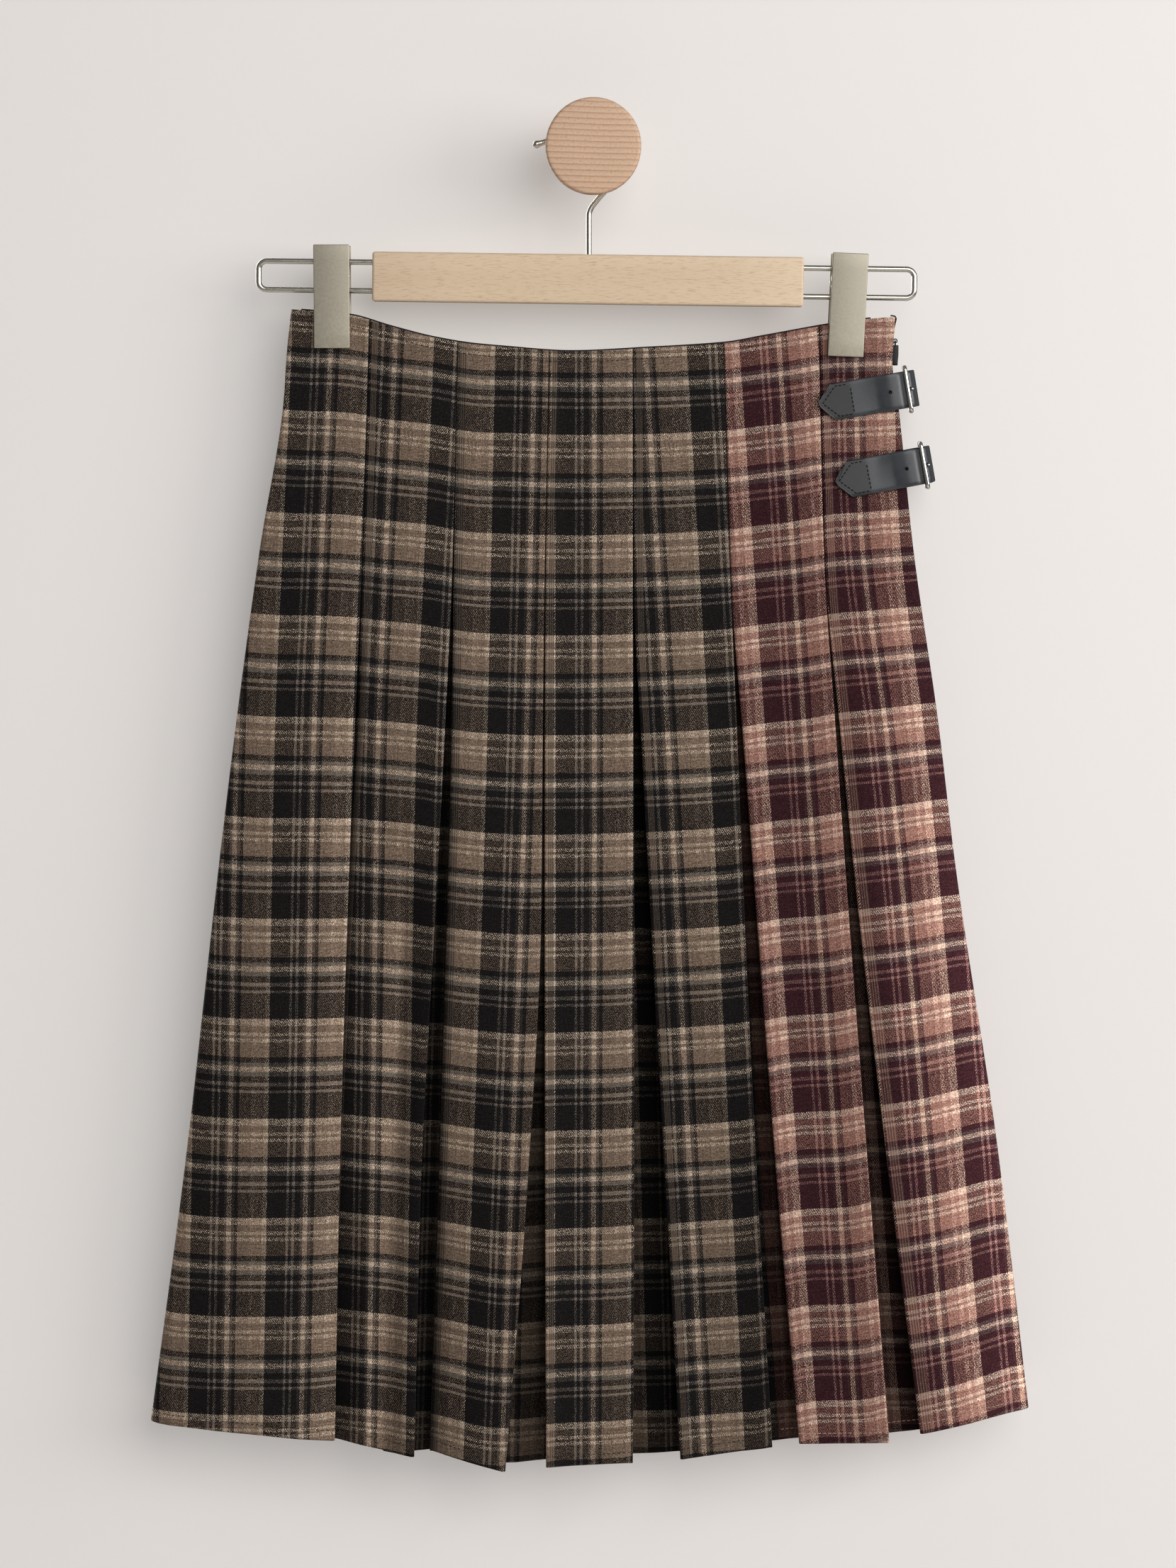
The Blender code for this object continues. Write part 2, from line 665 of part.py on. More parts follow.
def make_hook():
    """A stem out of the bar, a cranked bend, the arc over the peg's neck and a flared end with a knob."""
    bar_top = BAR_MIDDLE[1] + BAR[2] / 2
    path = [(HOOK_STEM, bar_top - WIRE_IN_BAR), (HOOK_STEM, bar_top + 8), (HOOK_STEM, -40.5)]
    path += [(-1.6, -37.0), (5.3, -28.4)]
    first, last = -52, 124
    steps = 15
    for step in range(steps + 1):
        turn = radians(first + (last - first) * step / steps)
        path.append((HOOK_CENTRE[0] + HOOK_ARC * cos(turn), HOOK_CENTRE[1] + HOOK_ARC * sin(turn)))
    path += [(-20.0, 7.5), (-28.7, 4.3), (-33.6, 2.7)]
    swell = [1.0] * len(path)
    knob = [(-34.2, 2.5, 1.3), (-35.4, 2.1, 1.4), (-36.6, 1.7, 1.25), (-37.1, 1.5, 0.6)]
    path += [(x, z) for x, z, _ in knob]
    swell += [size for _, _, size in knob]
    wire("hanger_hook", [(x, HANG_Y, z) for x, z in path], HOOK_WIRE, "satin_nickel", swell=swell)


# ---------------------------------------------------------------- clips


def make_clip(clip):
    """Two sprung jaws on a pin, with the coil between them; the wire loop passes above and below."""
    lean = radians(clip.lean)
    pin_x, _, pin_z = hanger_point(clip.x, BAR_MIDDLE[1])
    slope = (CLIP_INNER[0] - CLIP_INNER[1]) / CLIP[2]
    middle_out = (CLIP_INNER[0] + CLIP_INNER[1]) / 2 + CLIP[1] / 2
    hole = cylinder(f"hole_clip_{clip.side}", CLIP_PIN + GAP, CLIP[0] + 10, "satin_nickel", 12, helper=True)
    place(hole, pin_x, HANG_Y, pin_z, (0, pi / 2, 0))
    for jaw, outwards, cheek_x in (("front", -1, 9.4), ("back", 1, 7.6)):
        plate = box(f"clip_{clip.side}_{jaw}", CLIP, "satin_nickel", bevel=0.5, segments=1)
        turn = Matrix.Rotation(lean, 4, "Y") @ Matrix.Rotation(-outwards * slope, 4, "X")
        plate.matrix_world = Matrix.Translation(
            Vector((clip.x, HANG_Y + outwards * middle_out, clip.z)) * MM
        ) @ turn
        for side in (-1, 1):
            reach = middle_out + 3.0
            cheek = box(f"cheek_{clip.side}_{jaw}_{side}", (1.4, reach, 7.6), "satin_nickel", helper=True)
            y = HANG_Y + outwards * (reach / 2 - 3.0)
            place(cheek, pin_x + side * cheek_x, y, pin_z)
            boolean(plate, cheek, "UNION")
        boolean(plate, hole, "DIFFERENCE")
    coil = cylinder(f"clip_{clip.side}_spring", CLIP_COIL, 2 * 6.2, "satin_nickel", 16)
    place(coil, pin_x, HANG_Y, pin_z, (0, pi / 2, 0))
    pin = cylinder(f"pin_{clip.side}", CLIP_PIN, 21.4, "satin_nickel", 12, helper=True)
    place(pin, pin_x, HANG_Y, pin_z, (0, pi / 2, 0))
    boolean(coil, pin, "UNION")


# ---------------------------------------------------------------- straps and buckles


ACROSS = np.array([-1.0, 0.0, 1.0])  # lower edge, middle and upper edge of a strap
OVER_FACETS = 0.6  # between a strap and the cloth under it, whose facets run differently
ON_CLOTH = CLOTH / 2 + OVER_FACETS + LEATHER / 2  # from the middle of the cloth to the middle of a strap
WRAP_PLAY = 0.45  # between a wire and the leather or wire folded round it


class StrapFrame:
    """A strap's own frame: s runs along it and rises to the right, w across it, y is the skirt's y."""

    def __init__(self, where):
        self.where = where
        self.rise = radians(where.rise)
        self.strap_front = self.on_cloth("front", LIFTS_AT, ON_CLOTH)[1]
        self.chape = self.on_cloth("back", LIFTS_AT, ON_CLOTH)[1]
        self.strap_back = self.chape + LEATHER + WRAP_PLAY
        self.under_bar = self.strap_front + 0.9
        self.front_bar = (0.0, self.under_bar - LEATHER / 2 - GAP - BUCKLE_WIRE)
        self.pivot = (0.9, self.chape - BUCKLE_WIRE - WRAP_PLAY - LEATHER / 2)

    def point(self, s, y, w=0.0):
        x = self.where.x + s * cos(self.rise) - w * sin(self.rise)
        z = self.where.z + s * sin(self.rise) + w * cos(self.rise)
        return x, y, z

    def on_cloth(self, face, s, out):
        """y across the strap at s where it lies on the skirt, its middle this far outside the cloth's."""
        x, _, z = self.point(s, 0.0, ACROSS * STRAP_WIDTH / 2)
        return wall_y(face, x, share_at(x, z)) - into(face) * out


def ribbon(name, frame, path, tips, slot):
    """A leather strip along a path of (s, y), pointed at the ends named in tips.

    The path's second point lies further from a pointed end than the point is long.
    """
    runs = np.array([s for s, _ in path])
    levels = np.array([y * np.ones(3) for _, y in path])
    length = np.concatenate([[0], np.cumsum(np.hypot(np.diff(runs), np.diff(levels[:, 1])))])
    starts = STRAP_POINT * np.abs(ACROSS) if "start" in tips else 0 * ACROSS
    ends = length[-1] - (STRAP_POINT * np.abs(ACROSS) if "end" in tips else 0 * ACROSS)
    columns = []
    for along in length:
        at = np.clip(along, starts, ends)
        s = np.interp(at, length, runs)
        y = np.array([np.interp(at[i], length, levels[:, i]) for i in range(3)])
        columns.append(frame.point(s, y, ACROSS * STRAP_WIDTH / 2))
    return wall(name, columns, LEATHER, slot)


def make_strap(where):
    """The strap: sewn to the front, under the buckle's front bar, round the side, free end behind."""
    frame = StrapFrame(where)
    flat = frame.strap_front
    under = frame.under_bar
    path = [(s, frame.on_cloth("front", s, ON_CLOTH)) for s in (STRAP_TIP, -44.5, -34.5, LIFTS_AT)]
    path += [(-20.0, flat - 0.2), (-15.0, flat - 1.0), (-10.5, flat - 1.5), (-6.0, flat - 1.0)]
    path += [(-2.5, under - 0.2), (0.5, under + 0.1)]
    s_pivot, y_pivot = frame.pivot
    bend = frame.strap_back - y_pivot + 0.1
    first = y_pivot + bend * sin(radians(-40))
    path.append((3.2, under + 0.2 * (first - under)))
    for turn in (-40, -10, 20, 50, 80):
        path.append((s_pivot + bend * cos(radians(turn)), y_pivot + bend * sin(radians(turn))))
    over_chape = ON_CLOTH + LEATHER + WRAP_PLAY
    for s in (-6.0, -16.0, LIFTS_AT, -40.0, -52.0):
        path.append((s, np.maximum(frame.strap_back, frame.on_cloth("back", s, over_chape))))
    strap = ribbon(f"strap_{where.name}", frame, path, ("start", "end"), "black_leather")
    spare = cylinder(f"hole_spare_{where.name}", STRAP_HOLE_RADIUS, 8.0, "black_leather", 12, helper=True)
    place(spare, *frame.point(STRAP_HOLE, flat - 1.4), (pi / 2, 0, 0))
    boolean(strap, spare, "DIFFERENCE")
    start, end = [Vector(frame.point(*place_in_plan)) for place_in_plan in prong_line(frame)]
    aim = (end - start).normalized()
    bore = cylinder(f"hole_prong_{where.name}", PRONG_WIRE + 0.45, 12.0, "black_leather", 12, helper=True)
    turned = aim.to_track_quat("Z", "Y").to_matrix().to_4x4()
    bore.matrix_world = Matrix.Translation((end - aim * 4.5) * MM) @ turned
    boolean(strap, bore, "DIFFERENCE")
    return frame


def prong_line(frame):
    """The prong's straight run, from beside the pivot bar to its tip on the front bar."""
    wrap = BUCKLE_WIRE + WRAP_PLAY + PRONG_WIRE
    start = (frame.pivot[0] - wrap, frame.pivot[1])
    end = (BUCKLE_WIRE + PRONG_WIRE + 0.8, frame.front_bar[1] - 1.4)
    return start, end


def make_chape(frame):
    """The short strap sewn to the back, folded round the buckle's pivot bar."""
    name = frame.where.name
    path = [(s, frame.on_cloth("back", s, ON_CLOTH)) for s in (-54.0, -42.0, LIFTS_AT)]
    path += [(-18.0, frame.chape), (-8.0, frame.chape)]
    s_pivot, y_pivot = frame.pivot
    wrap = BUCKLE_WIRE + WRAP_PLAY + LEATHER / 2
    for turn in range(90, -121, -30):
        path.append((s_pivot + wrap * cos(radians(turn)), y_pivot + wrap * sin(radians(turn))))
    path.append((-2.6, y_pivot - 1.7))
    chape = ribbon(f"chape_{name}", frame, path, ("start",), "black_leather")
    slot = box(f"slot_{name}", (9.0, 12.0, 3.6), "black_leather", helper=True)
    place(slot, *frame.point(s_pivot + 0.4, y_pivot - 0.6), (0, -frame.rise, 0))
    boolean(chape, slot, "DIFFERENCE")


def make_buckle(frame):
    """A four-sided wire frame, its back side the pivot, and the prong hooked round that side."""
    name = frame.where.name
    half = BUCKLE_HEIGHT / 2 - BUCKLE_WIRE
    bend = 2.2
    a, b = np.array(frame.front_bar), np.array(frame.pivot)
    length = np.linalg.norm(b - a)
    corners = ((bend, half - bend, 90, 180), (bend, -(half - bend), 180, 270))
    corners += ((length - bend, -(half - bend), 270, 360), (length - bend, half - bend, 0, 90))
    points = []
    for along, w, first, last in corners:
        for turn in np.radians([first, (first + last) / 2, last]):
            t = (along + bend * cos(turn)) / length
            s, y = a + (b - a) * t
            points.append(frame.point(s, y, w + bend * sin(turn)))
    wire(f"buckle_{name}", points, BUCKLE_WIRE, "bright_nickel", closed=True)
    start, end = prong_line(frame)
    wrap = BUCKLE_WIRE + WRAP_PLAY + PRONG_WIRE
    hooked = []
    for turn in range(-75, 181, 32):
        at = radians(turn)
        hooked.append((frame.pivot[0] + wrap * cos(at), frame.pivot[1] + wrap * sin(at)))
    hooked += [start, ((start[0] + end[0]) / 2, (start[1] + end[1]) / 2), end]
    points = [frame.point(s, y) for s, y in hooked]
    wire(f"prong_{name}", points, PRONG_WIRE, "bright_nickel")


# ---------------------------------------------------------------- zip


def make_zip():
    """Tapes inside the right seam, the slider whose eye stands out of it, and the pull tab on the eye."""
    rows = np.array([0.0, 0.02, 0.04, 0.08, 0.14, 0.21, ZIP_LENGTH / 700.0])
    for face in ("front", "back"):
        width, thickness = ZIP_TAPE
        edge = seam_x("right", rows) - 2.2
        z = WAIST_Z[-1] + FACING_PROUD - rows * 690.0
        y = seam_y(rows) - into(face) * (thickness / 2 + GAP)
        flare = np.interp(rows, ZIP_OPEN[0], (1.2, 1.0, 0.0))
        columns = [(edge - width, y, z), (edge, y - into(face) * flare, z)]
        wall(f"zip_tape_{face}", columns, thickness, "black_zip")
    eye_x, eye_z = ZIP_EYE
    slider = box("zip_slider", (3.2, 0.9, 4.6), "black_zip")
    place(slider, eye_x - 1.9, HANG_Y, eye_z)
    eye = cylinder("eye_disc", 1.5, 0.9, "black_zip", 16, helper=True)
    place(eye, eye_x, HANG_Y, eye_z, (pi / 2, 0, 0))
    boolean(slider, eye, "UNION")
    hole = cylinder("eye_hole", 0.8, 3.0, "black_zip", 12, helper=True)
    place(hole, eye_x, HANG_Y, eye_z, (pi / 2, 0, 0))
    boolean(slider, hole, "DIFFERENCE")
    make_pull_tab(eye_x, eye_z)


def make_pull_tab(eye_x, eye_z):
    """A flat tab under a wire bail that runs through the slider's eye along Y."""
    half = 1.15
    bail_wire = 0.4
    bail = wire(
        "pull_tab",
        [
            (0, -half, 0),
            (0, half, 0),
            (0, half, -ZIP_TAB_DROP - 0.6),
            (0, -half, -ZIP_TAB_DROP - 0.6),
        ],
        bail_wire,
        "black_zip",
        closed=True,
    )
    pull = to_mesh(bail)
    place(pull, eye_x, HANG_Y, eye_z)
    thickness, width, length = ZIP_TAB
    tab = box("tab_plate", ZIP_TAB, "black_zip", bevel=0.45, segments=2, helper=True)
    place(tab, eye_x, HANG_Y, eye_z - ZIP_TAB_DROP - length / 2)
    boolean(pull, tab, "UNION")


# ---------------------------------------------------------------- the whole object

make_skirt()
for face in ("front", "back"):
    make_facing(face)
make_peg()
make_bar()
for side in ("left", "right"):
    make_wire_loop(side)
make_hook()
for clip in CLIPS:
    make_clip(clip)
for where in STRAPS:
    frame = make_strap(where)
    make_chape(frame)
    make_buckle(frame)
make_zip()
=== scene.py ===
# %% [markdown]
# # A check kilt skirt on a clip hanger
# This lesson dresses a plain CAD model of a pleated kilt skirt. The skirt hangs by two clips from a wooden
# bar, and the bar hangs on a round wall peg. Each step first says what the real piece is, then makes it.
# Lengths are in millimetres until a mesh is made, and Blender gets metres.

import json
from math import cos, pi, radians, sin

import bpy
import numpy as np
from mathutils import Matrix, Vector

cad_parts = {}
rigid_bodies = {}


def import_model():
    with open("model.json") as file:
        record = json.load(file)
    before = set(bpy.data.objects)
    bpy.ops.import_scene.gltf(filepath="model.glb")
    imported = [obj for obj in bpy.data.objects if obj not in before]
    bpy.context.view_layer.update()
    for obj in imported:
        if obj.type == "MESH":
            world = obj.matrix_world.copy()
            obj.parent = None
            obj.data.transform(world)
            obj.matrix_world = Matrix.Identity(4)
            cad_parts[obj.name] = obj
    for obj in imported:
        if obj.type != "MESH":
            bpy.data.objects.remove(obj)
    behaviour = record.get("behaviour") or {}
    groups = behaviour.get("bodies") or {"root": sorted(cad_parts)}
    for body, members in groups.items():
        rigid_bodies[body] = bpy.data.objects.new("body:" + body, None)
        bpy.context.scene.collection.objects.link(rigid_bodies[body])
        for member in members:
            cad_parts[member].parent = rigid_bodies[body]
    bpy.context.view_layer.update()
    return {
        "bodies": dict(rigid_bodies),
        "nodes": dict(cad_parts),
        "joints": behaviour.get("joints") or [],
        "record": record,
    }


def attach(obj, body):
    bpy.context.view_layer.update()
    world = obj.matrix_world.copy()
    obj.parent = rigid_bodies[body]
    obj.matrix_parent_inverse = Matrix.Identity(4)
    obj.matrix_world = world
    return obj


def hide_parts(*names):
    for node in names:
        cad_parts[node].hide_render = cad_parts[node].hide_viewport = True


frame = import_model()
SKIRT_BODY = "skirt_on_hanger"
TAB_BODY = "zip_pull"
MM = 0.001

# %% [markdown]
# ## Small helpers
# Every new piece is a surface on a grid: rows run one way, columns the other, and each cell is one
# four-sided face. Whole arrays of points are worked out at once, so a shape is one formula.

# %% Meshes from grids
def unit(vectors):
    """Each vector divided by its own length."""
    return vectors / np.maximum(np.linalg.norm(vectors, axis=-1, keepdims=True), 1e-9)


def grid_faces(rows, columns, closed=False, first=0):
    """Corner numbers of the cells of a grid: down, right, up, left, so a face looks at who sees it so."""
    index = np.arange(rows * columns).reshape(rows, columns) + first
    if closed:
        index = np.concatenate([index, index[:, :1]], axis=1)
    corners = index[:-1, :-1], index[1:, :-1], index[1:, 1:], index[:-1, 1:]
    return np.stack(corners, axis=-1).reshape(-1, 4)


def mesh_piece(name, points, faces, finish, uv=None, body=SKIRT_BODY, **values):
    """One smooth-shaded object from points in millimetres, riding on a body.

    uv has one pair a point; any other values, one a point, become attributes of the same name.
    """
    data = bpy.data.meshes.new(name)
    data.from_pydata(np.asarray(points).reshape(-1, 3) * MM, [], [list(map(int, face)) for face in faces])
    if uv is not None:
        corners = np.zeros(len(data.loops), dtype=np.int32)
        data.loops.foreach_get("vertex_index", corners)
        layer = data.uv_layers.new(name="cloth")
        layer.data.foreach_set("uv", uv.reshape(-1, 2)[corners].ravel())
    for key, value in values.items():
        data.attributes.new(name=key, type="FLOAT", domain="POINT").data.foreach_set("value", value.ravel())
    data.shade_smooth()
    data.materials.append(finish)
    data.update()
    made = bpy.data.objects.new(name, data)
    bpy.context.scene.collection.objects.link(made)
    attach(made, body)
    return made


def skin(rings, capped=True):
    """Points and faces over rings of points (ring, place round it, xyz), ends capped, facing outwards.

    The signed volume, a sum of corner * (next corner x the one after) over the triangles, shows which way.
    """
    count, around = rings.shape[:2]
    points = rings.reshape(-1, 3)
    faces = grid_faces(count, around, closed=True).tolist()
    if capped:
        faces += [list(range(around))[::-1], [(count - 1) * around + i for i in range(around)]]
    triangles = [(face[0], face[i], face[i + 1]) for face in faces for i in range(1, len(face) - 1)]
    a, b, c = np.moveaxis((points - points.mean(axis=0))[np.array(triangles)], 1, 0)
    if np.sum(a * np.cross(b, c)) < 0:
        faces = [face[::-1] for face in faces]
    return points, faces


def solid_piece(name, finish, *skins, body=SKIRT_BODY, sharp=38.0):
    """One object from several closed skins; edges steeper than sharp degrees stay crisp."""
    points, faces = [], []
    for skin_points, skin_faces in skins:
        first = sum(len(p) for p in points)
        points.append(skin_points)
        faces += [[corner + first for corner in face] for face in skin_faces]
    made = mesh_piece(name, np.concatenate(points), faces, finish, body=body)
    made.data.set_sharp_from_angle(angle=radians(sharp))
    return made


def tube(path, radius, up, around=16, closed=False):
    """Rings of a round wire: each is the path's point plus radius times cos and sin of two cross directions."""
    path = np.asarray(path, float)
    if closed:
        ahead = np.roll(path, -1, axis=0) - np.roll(path, 1, axis=0)
    else:
        ahead = np.gradient(path, axis=0)
    ahead = unit(ahead)
    up = np.broadcast_to(np.asarray(up, float), path.shape)
    across = unit(np.cross(ahead, up))
    rise = np.cross(across, ahead)
    turn = np.linspace(0, 2 * pi, around, endpoint=False)[None, :, None]
    radius = np.broadcast_to(np.asarray(radius, float), (len(path),))[:, None, None]
    return path[:, None] + radius * (across[:, None] * np.cos(turn) + rise[:, None] * np.sin(turn))


def smooth_curve(knots, values, at):
    """A smooth curve through a short table: cubic pieces whose slopes never overshoot the table."""
    knots = np.asarray(knots, float)
    values = np.asarray(values, float)
    at = np.clip(np.asarray(at, float), knots[0], knots[-1])
    steps = np.diff(knots)
    slopes = np.diff(values) / steps
    turning = slopes[:-1] * slopes[1:] > 0
    middle = np.where(turning, 2 * slopes[:-1] * slopes[1:] / (slopes[:-1] + slopes[1:] + 1e-12), 0.0)
    tangents = np.concatenate([slopes[:1], middle, slopes[-1:]])
    piece = np.clip(np.searchsorted(knots, at, side="right") - 1, 0, len(steps) - 1)
    t = (at - knots[piece]) / steps[piece]
    rise = values[piece + 1] - values[piece]
    start = tangents[piece] * steps[piece]
    end = tangents[piece + 1] * steps[piece]
    return values[piece] + t * start + t**2 * (3 * rise - 2 * start - end) + t**3 * (start + end - 2 * rise)


def fade(value, start, end):
    """0 before start, 1 after end, and the smooth step 3t^2 - 2t^3 between."""
    t = np.clip((value - start) / (end - start), 0, 1)
    return t * t * (3 - 2 * t)


# %% [markdown]
# A finish is a Principled shader fed by a few texture nodes. `Finish` keeps the node calls short.
# A value that is the same all over the surface goes straight into the shader's own socket.

# %% Finishes
def linear(colour):
    """Screen colour 0 to 255 turned into the linear light that shaders mix."""
    share = np.asarray(colour, float) / 255
    light = np.where(share <= 0.04045, share / 12.92, ((share + 0.055) / 1.055) ** 2.4)
    return (*light, 1.0)


class Finish:
    """A material and its node tree."""

    def __init__(self, name, colour, roughness, metallic=0.0, **sockets):
        self.material = bpy.data.materials.new(name)
        self.material.use_nodes = True
        self.tree = self.material.node_tree
        self.shader = self.tree.nodes["Principled BSDF"]
        self.shader.inputs["Base Color"].default_value = linear(colour)
        self.shader.inputs["Roughness"].default_value = roughness
        self.shader.inputs["Metallic"].default_value = metallic
        for socket, value in sockets.items():
            self.shader.inputs[socket.replace("_", " ")].default_value = value
        self.material.diffuse_color = linear(colour)

    def node(self, kind, *inputs, **settings):
        """Add a node; each input is a value, a socket to link from, or None to leave alone."""
        made = self.tree.nodes.new("ShaderNode" + kind)
        for key, value in settings.items():
            setattr(made, key, value)
        for socket, value in zip(made.inputs, inputs):
            if isinstance(value, bpy.types.NodeSocket):
                self.tree.links.new(value, socket)
            elif value is not None:
                socket.default_value = value
        return made

    def math(self, operation, a, b=None, c=None, clamp=False):
        """One sum on sockets or numbers, such as MULTIPLY_ADD for a * b + c."""
        return self.node("Math", a, b, c, operation=operation, use_clamp=clamp).outputs[0]

    def mix(self, share, a, b, blend="MIX"):
        """Two colours mixed by a share, or multiplied or added in that share."""
        made = self.tree.nodes.new("ShaderNodeMix")
        made.data_type = "RGBA"
        made.blend_type = blend
        for socket, value in ((made.inputs[0], share), (made.inputs[6], a), (made.inputs[7], b)):
            if isinstance(value, bpy.types.NodeSocket):
                self.tree.links.new(value, socket)
            else:
                socket.default_value = value
        return made.outputs[2]

    def ramp(self, share, stops, interpolation="LINEAR"):
        """A table of (place, colour or grey) looked up by share."""
        made = self.node("ValToRGB", share)
        made.color_ramp.interpolation = interpolation
        elements = made.color_ramp.elements
        while len(elements) < len(stops):
            elements.new(0.5)
        for element, (place, colour) in zip(elements, sorted(stops, key=lambda stop: stop[0])):
            element.position = place
            element.color = colour if hasattr(colour, "__len__") else (colour, colour, colour, 1.0)
        return made.outputs[0]

    def noise(self, where, scale, detail=2.0, roughness=0.5):
        """Soft random grey about 0.5, scale blobs to a unit, with finer blobs added by detail."""
        made = self.node("TexNoise", where, noise_dimensions="3D")
        made.inputs["Scale"].default_value = scale
        made.inputs["Detail"].default_value = detail
        made.inputs["Roughness"].default_value = roughness
        return made.outputs["Fac"]

    def place(self, scale=(1.0, 1.0, 1.0), source="Object", shift=(0.0, 0.0, 0.0), turn=(0.0, 0.0, 0.0)):
        """The object's own coordinates, stretched to a pattern's proportions."""
        where = self.node("TexCoord").outputs[source]
        made = self.node("Mapping", where)
        made.inputs["Scale"].default_value = scale
        made.inputs["Location"].default_value = shift
        made.inputs["Rotation"].default_value = turn
        return made.outputs[0]

    def colour(self, socket):
        """Feed the shader's colour."""
        self.tree.links.new(socket, self.shader.inputs["Base Color"])

    def roughness(self, socket):
        """Feed the shader's roughness."""
        self.tree.links.new(socket, self.shader.inputs["Roughness"])

    def bump(self, height, distance, strength=1.0):
        """Tilt the light as if the surface rose by height times distance, in metres."""
        made = self.node("Bump")
        made.inputs["Strength"].default_value = strength
        made.inputs["Distance"].default_value = distance
        self.tree.links.new(height, made.inputs["Height"])
        self.tree.links.new(made.outputs[0], self.shader.inputs["Normal"])


# %% [markdown]
# ## Camera, light, wall and floor
# The skirt hangs a little below eye height, seen from more than two metres away through a long lens, so
# its sides stay straight. Two large square lamps give the light: one in front, a little to the right and
# above, and one further to the right, which lays the soft shadow to the left. A third lights the back for
# whoever looks from there, and pale surroundings fill the rest. The wall is seen from its front only: from
# behind it lets the view through.

# %% Camera
bpy.context.scene.view_settings.view_transform = "Standard"
CAMERA_AT = np.array([-3.25, -2350.2, -179.7])
CAMERA_LOOKS_AT = np.array([-3.25, -60.0, -392.2])
camera = bpy.data.objects.new("camera", bpy.data.cameras.new("camera"))
bpy.context.scene.collection.objects.link(camera)
camera.data.sensor_fit = "VERTICAL"
camera.data.sensor_height = 36.0
camera.data.sensor_width = 27.0
camera.data.lens = 85.07
camera.data.clip_start = 0.1
camera.data.clip_end = 40.0
camera.location = Vector(CAMERA_AT * MM)
camera.rotation_euler = Vector(CAMERA_LOOKS_AT - CAMERA_AT).to_track_quat("-Z", "Y").to_euler()
bpy.context.scene.camera = camera


# %% Lights
def lamp(name, place, target, size, watts, colour):
    """A square area lamp that looks at a target."""
    data = bpy.data.lights.new(name, "AREA")
    data.shape = "SQUARE"
    data.size = size
    data.energy = watts
    data.color = colour
    made = bpy.data.objects.new(name, data)
    made.location = place
    made.rotation_euler = (Vector(target) - Vector(place)).to_track_quat("-Z", "Y").to_euler()
    bpy.context.scene.collection.objects.link(made)


lamp("window", (1.2, -2.85, 0.95), (0.0, 0.0, -0.45), 2.4, 63.0, (1.0, 0.985, 0.97))
lamp("side", (2.55, -1.55, 0.3), (0.1, 0.0, -0.5), 1.4, 43.0, (1.0, 0.98, 0.96))
lamp("behind", (-1.6, 2.6, 0.6), (0.0, 0.0, -0.45), 2.4, 70.0, (1.0, 0.99, 0.98))
world = bpy.data.worlds.new("pale studio")
bpy.context.scene.world = world
world.use_nodes = True
sky = world.node_tree.nodes["Background"]
sky.inputs["Color"].default_value = (1.0, 0.98, 0.965, 1.0)
sky.inputs["Strength"].default_value = 0.16
seen_sky = world.node_tree.nodes.new("ShaderNodeBackground")
seen_sky.inputs["Color"].default_value = (0.76, 0.74, 0.725, 1.0)
which = world.node_tree.nodes.new("ShaderNodeMixShader")
for socket, value in ((which.inputs[0], world.node_tree.nodes.new("ShaderNodeLightPath").outputs["Is Camera Ray"]),
                      (which.inputs[1], sky.outputs[0]), (which.inputs[2], seen_sky.outputs[0]),
                      (world.node_tree.nodes["World Output"].inputs[0], which.outputs[0])):
    world.node_tree.links.new(value, socket)


# %% Wall and floor
def studio_plane(name, corners, finish):
    """A flat sheet of the studio, which isn't part of the object."""
    data = bpy.data.meshes.new(name)
    data.from_pydata(corners, [], [(0, 1, 2, 3)])
    data.materials.append(finish.material)
    made = bpy.data.objects.new(name, data)
    bpy.context.scene.collection.objects.link(made)
    return made


plaster = Finish("plaster", (199, 196, 194), 0.95, Specular_IOR_Level=0.0, Emission_Strength=0.36)
plaster.shader.inputs["Emission Color"].default_value = linear((226, 223, 221))
mottle = plaster.noise(plaster.place(), 1.3, 3.0)
plaster.colour(plaster.mix(mottle, linear((196, 192, 190)), linear((202, 199, 197))))
seen = plaster.node("NewGeometry").outputs["Backfacing"]
one_sided = plaster.node("MixShader", seen, plaster.shader.outputs[0], plaster.node("BsdfTransparent").outputs[0])
plaster.tree.links.new(one_sided.outputs[0], plaster.tree.nodes["Material Output"].inputs["Surface"])
backdrop = studio_plane("wall", [(-3, 0, -1.65), (3, 0, -1.65), (3, 0, 2.2), (-3, 0, 2.2)], plaster)
backdrop.visible_shadow = backdrop.visible_diffuse = backdrop.visible_glossy = False
boards = Finish("pale floor", (224, 219, 214), 0.9, Specular_IOR_Level=0.1)
boards.colour(boards.mix(boards.noise(boards.place(), 2.0), linear((221, 215, 210)), linear((227, 222, 218))))
studio_plane("floor", [(-3, -3, -1.65), (3, -3, -1.65), (3, 3, -1.65), (-3, 3, -1.65)], boards)

# %% [markdown]
# ## The skirt's form
# The skirt is a front and a back joined at the side seams. Six pleats on each side are sewn shut over the
# hips and then fall open. In every pleat the cloth folds back under one panel, crosses behind and comes
# out from under the next, so a row of the cloth seen from above is one long folded line. The tables below
# hold the lines that shape it, at a few shares of the way from the waist edge (0) to the hem (1).

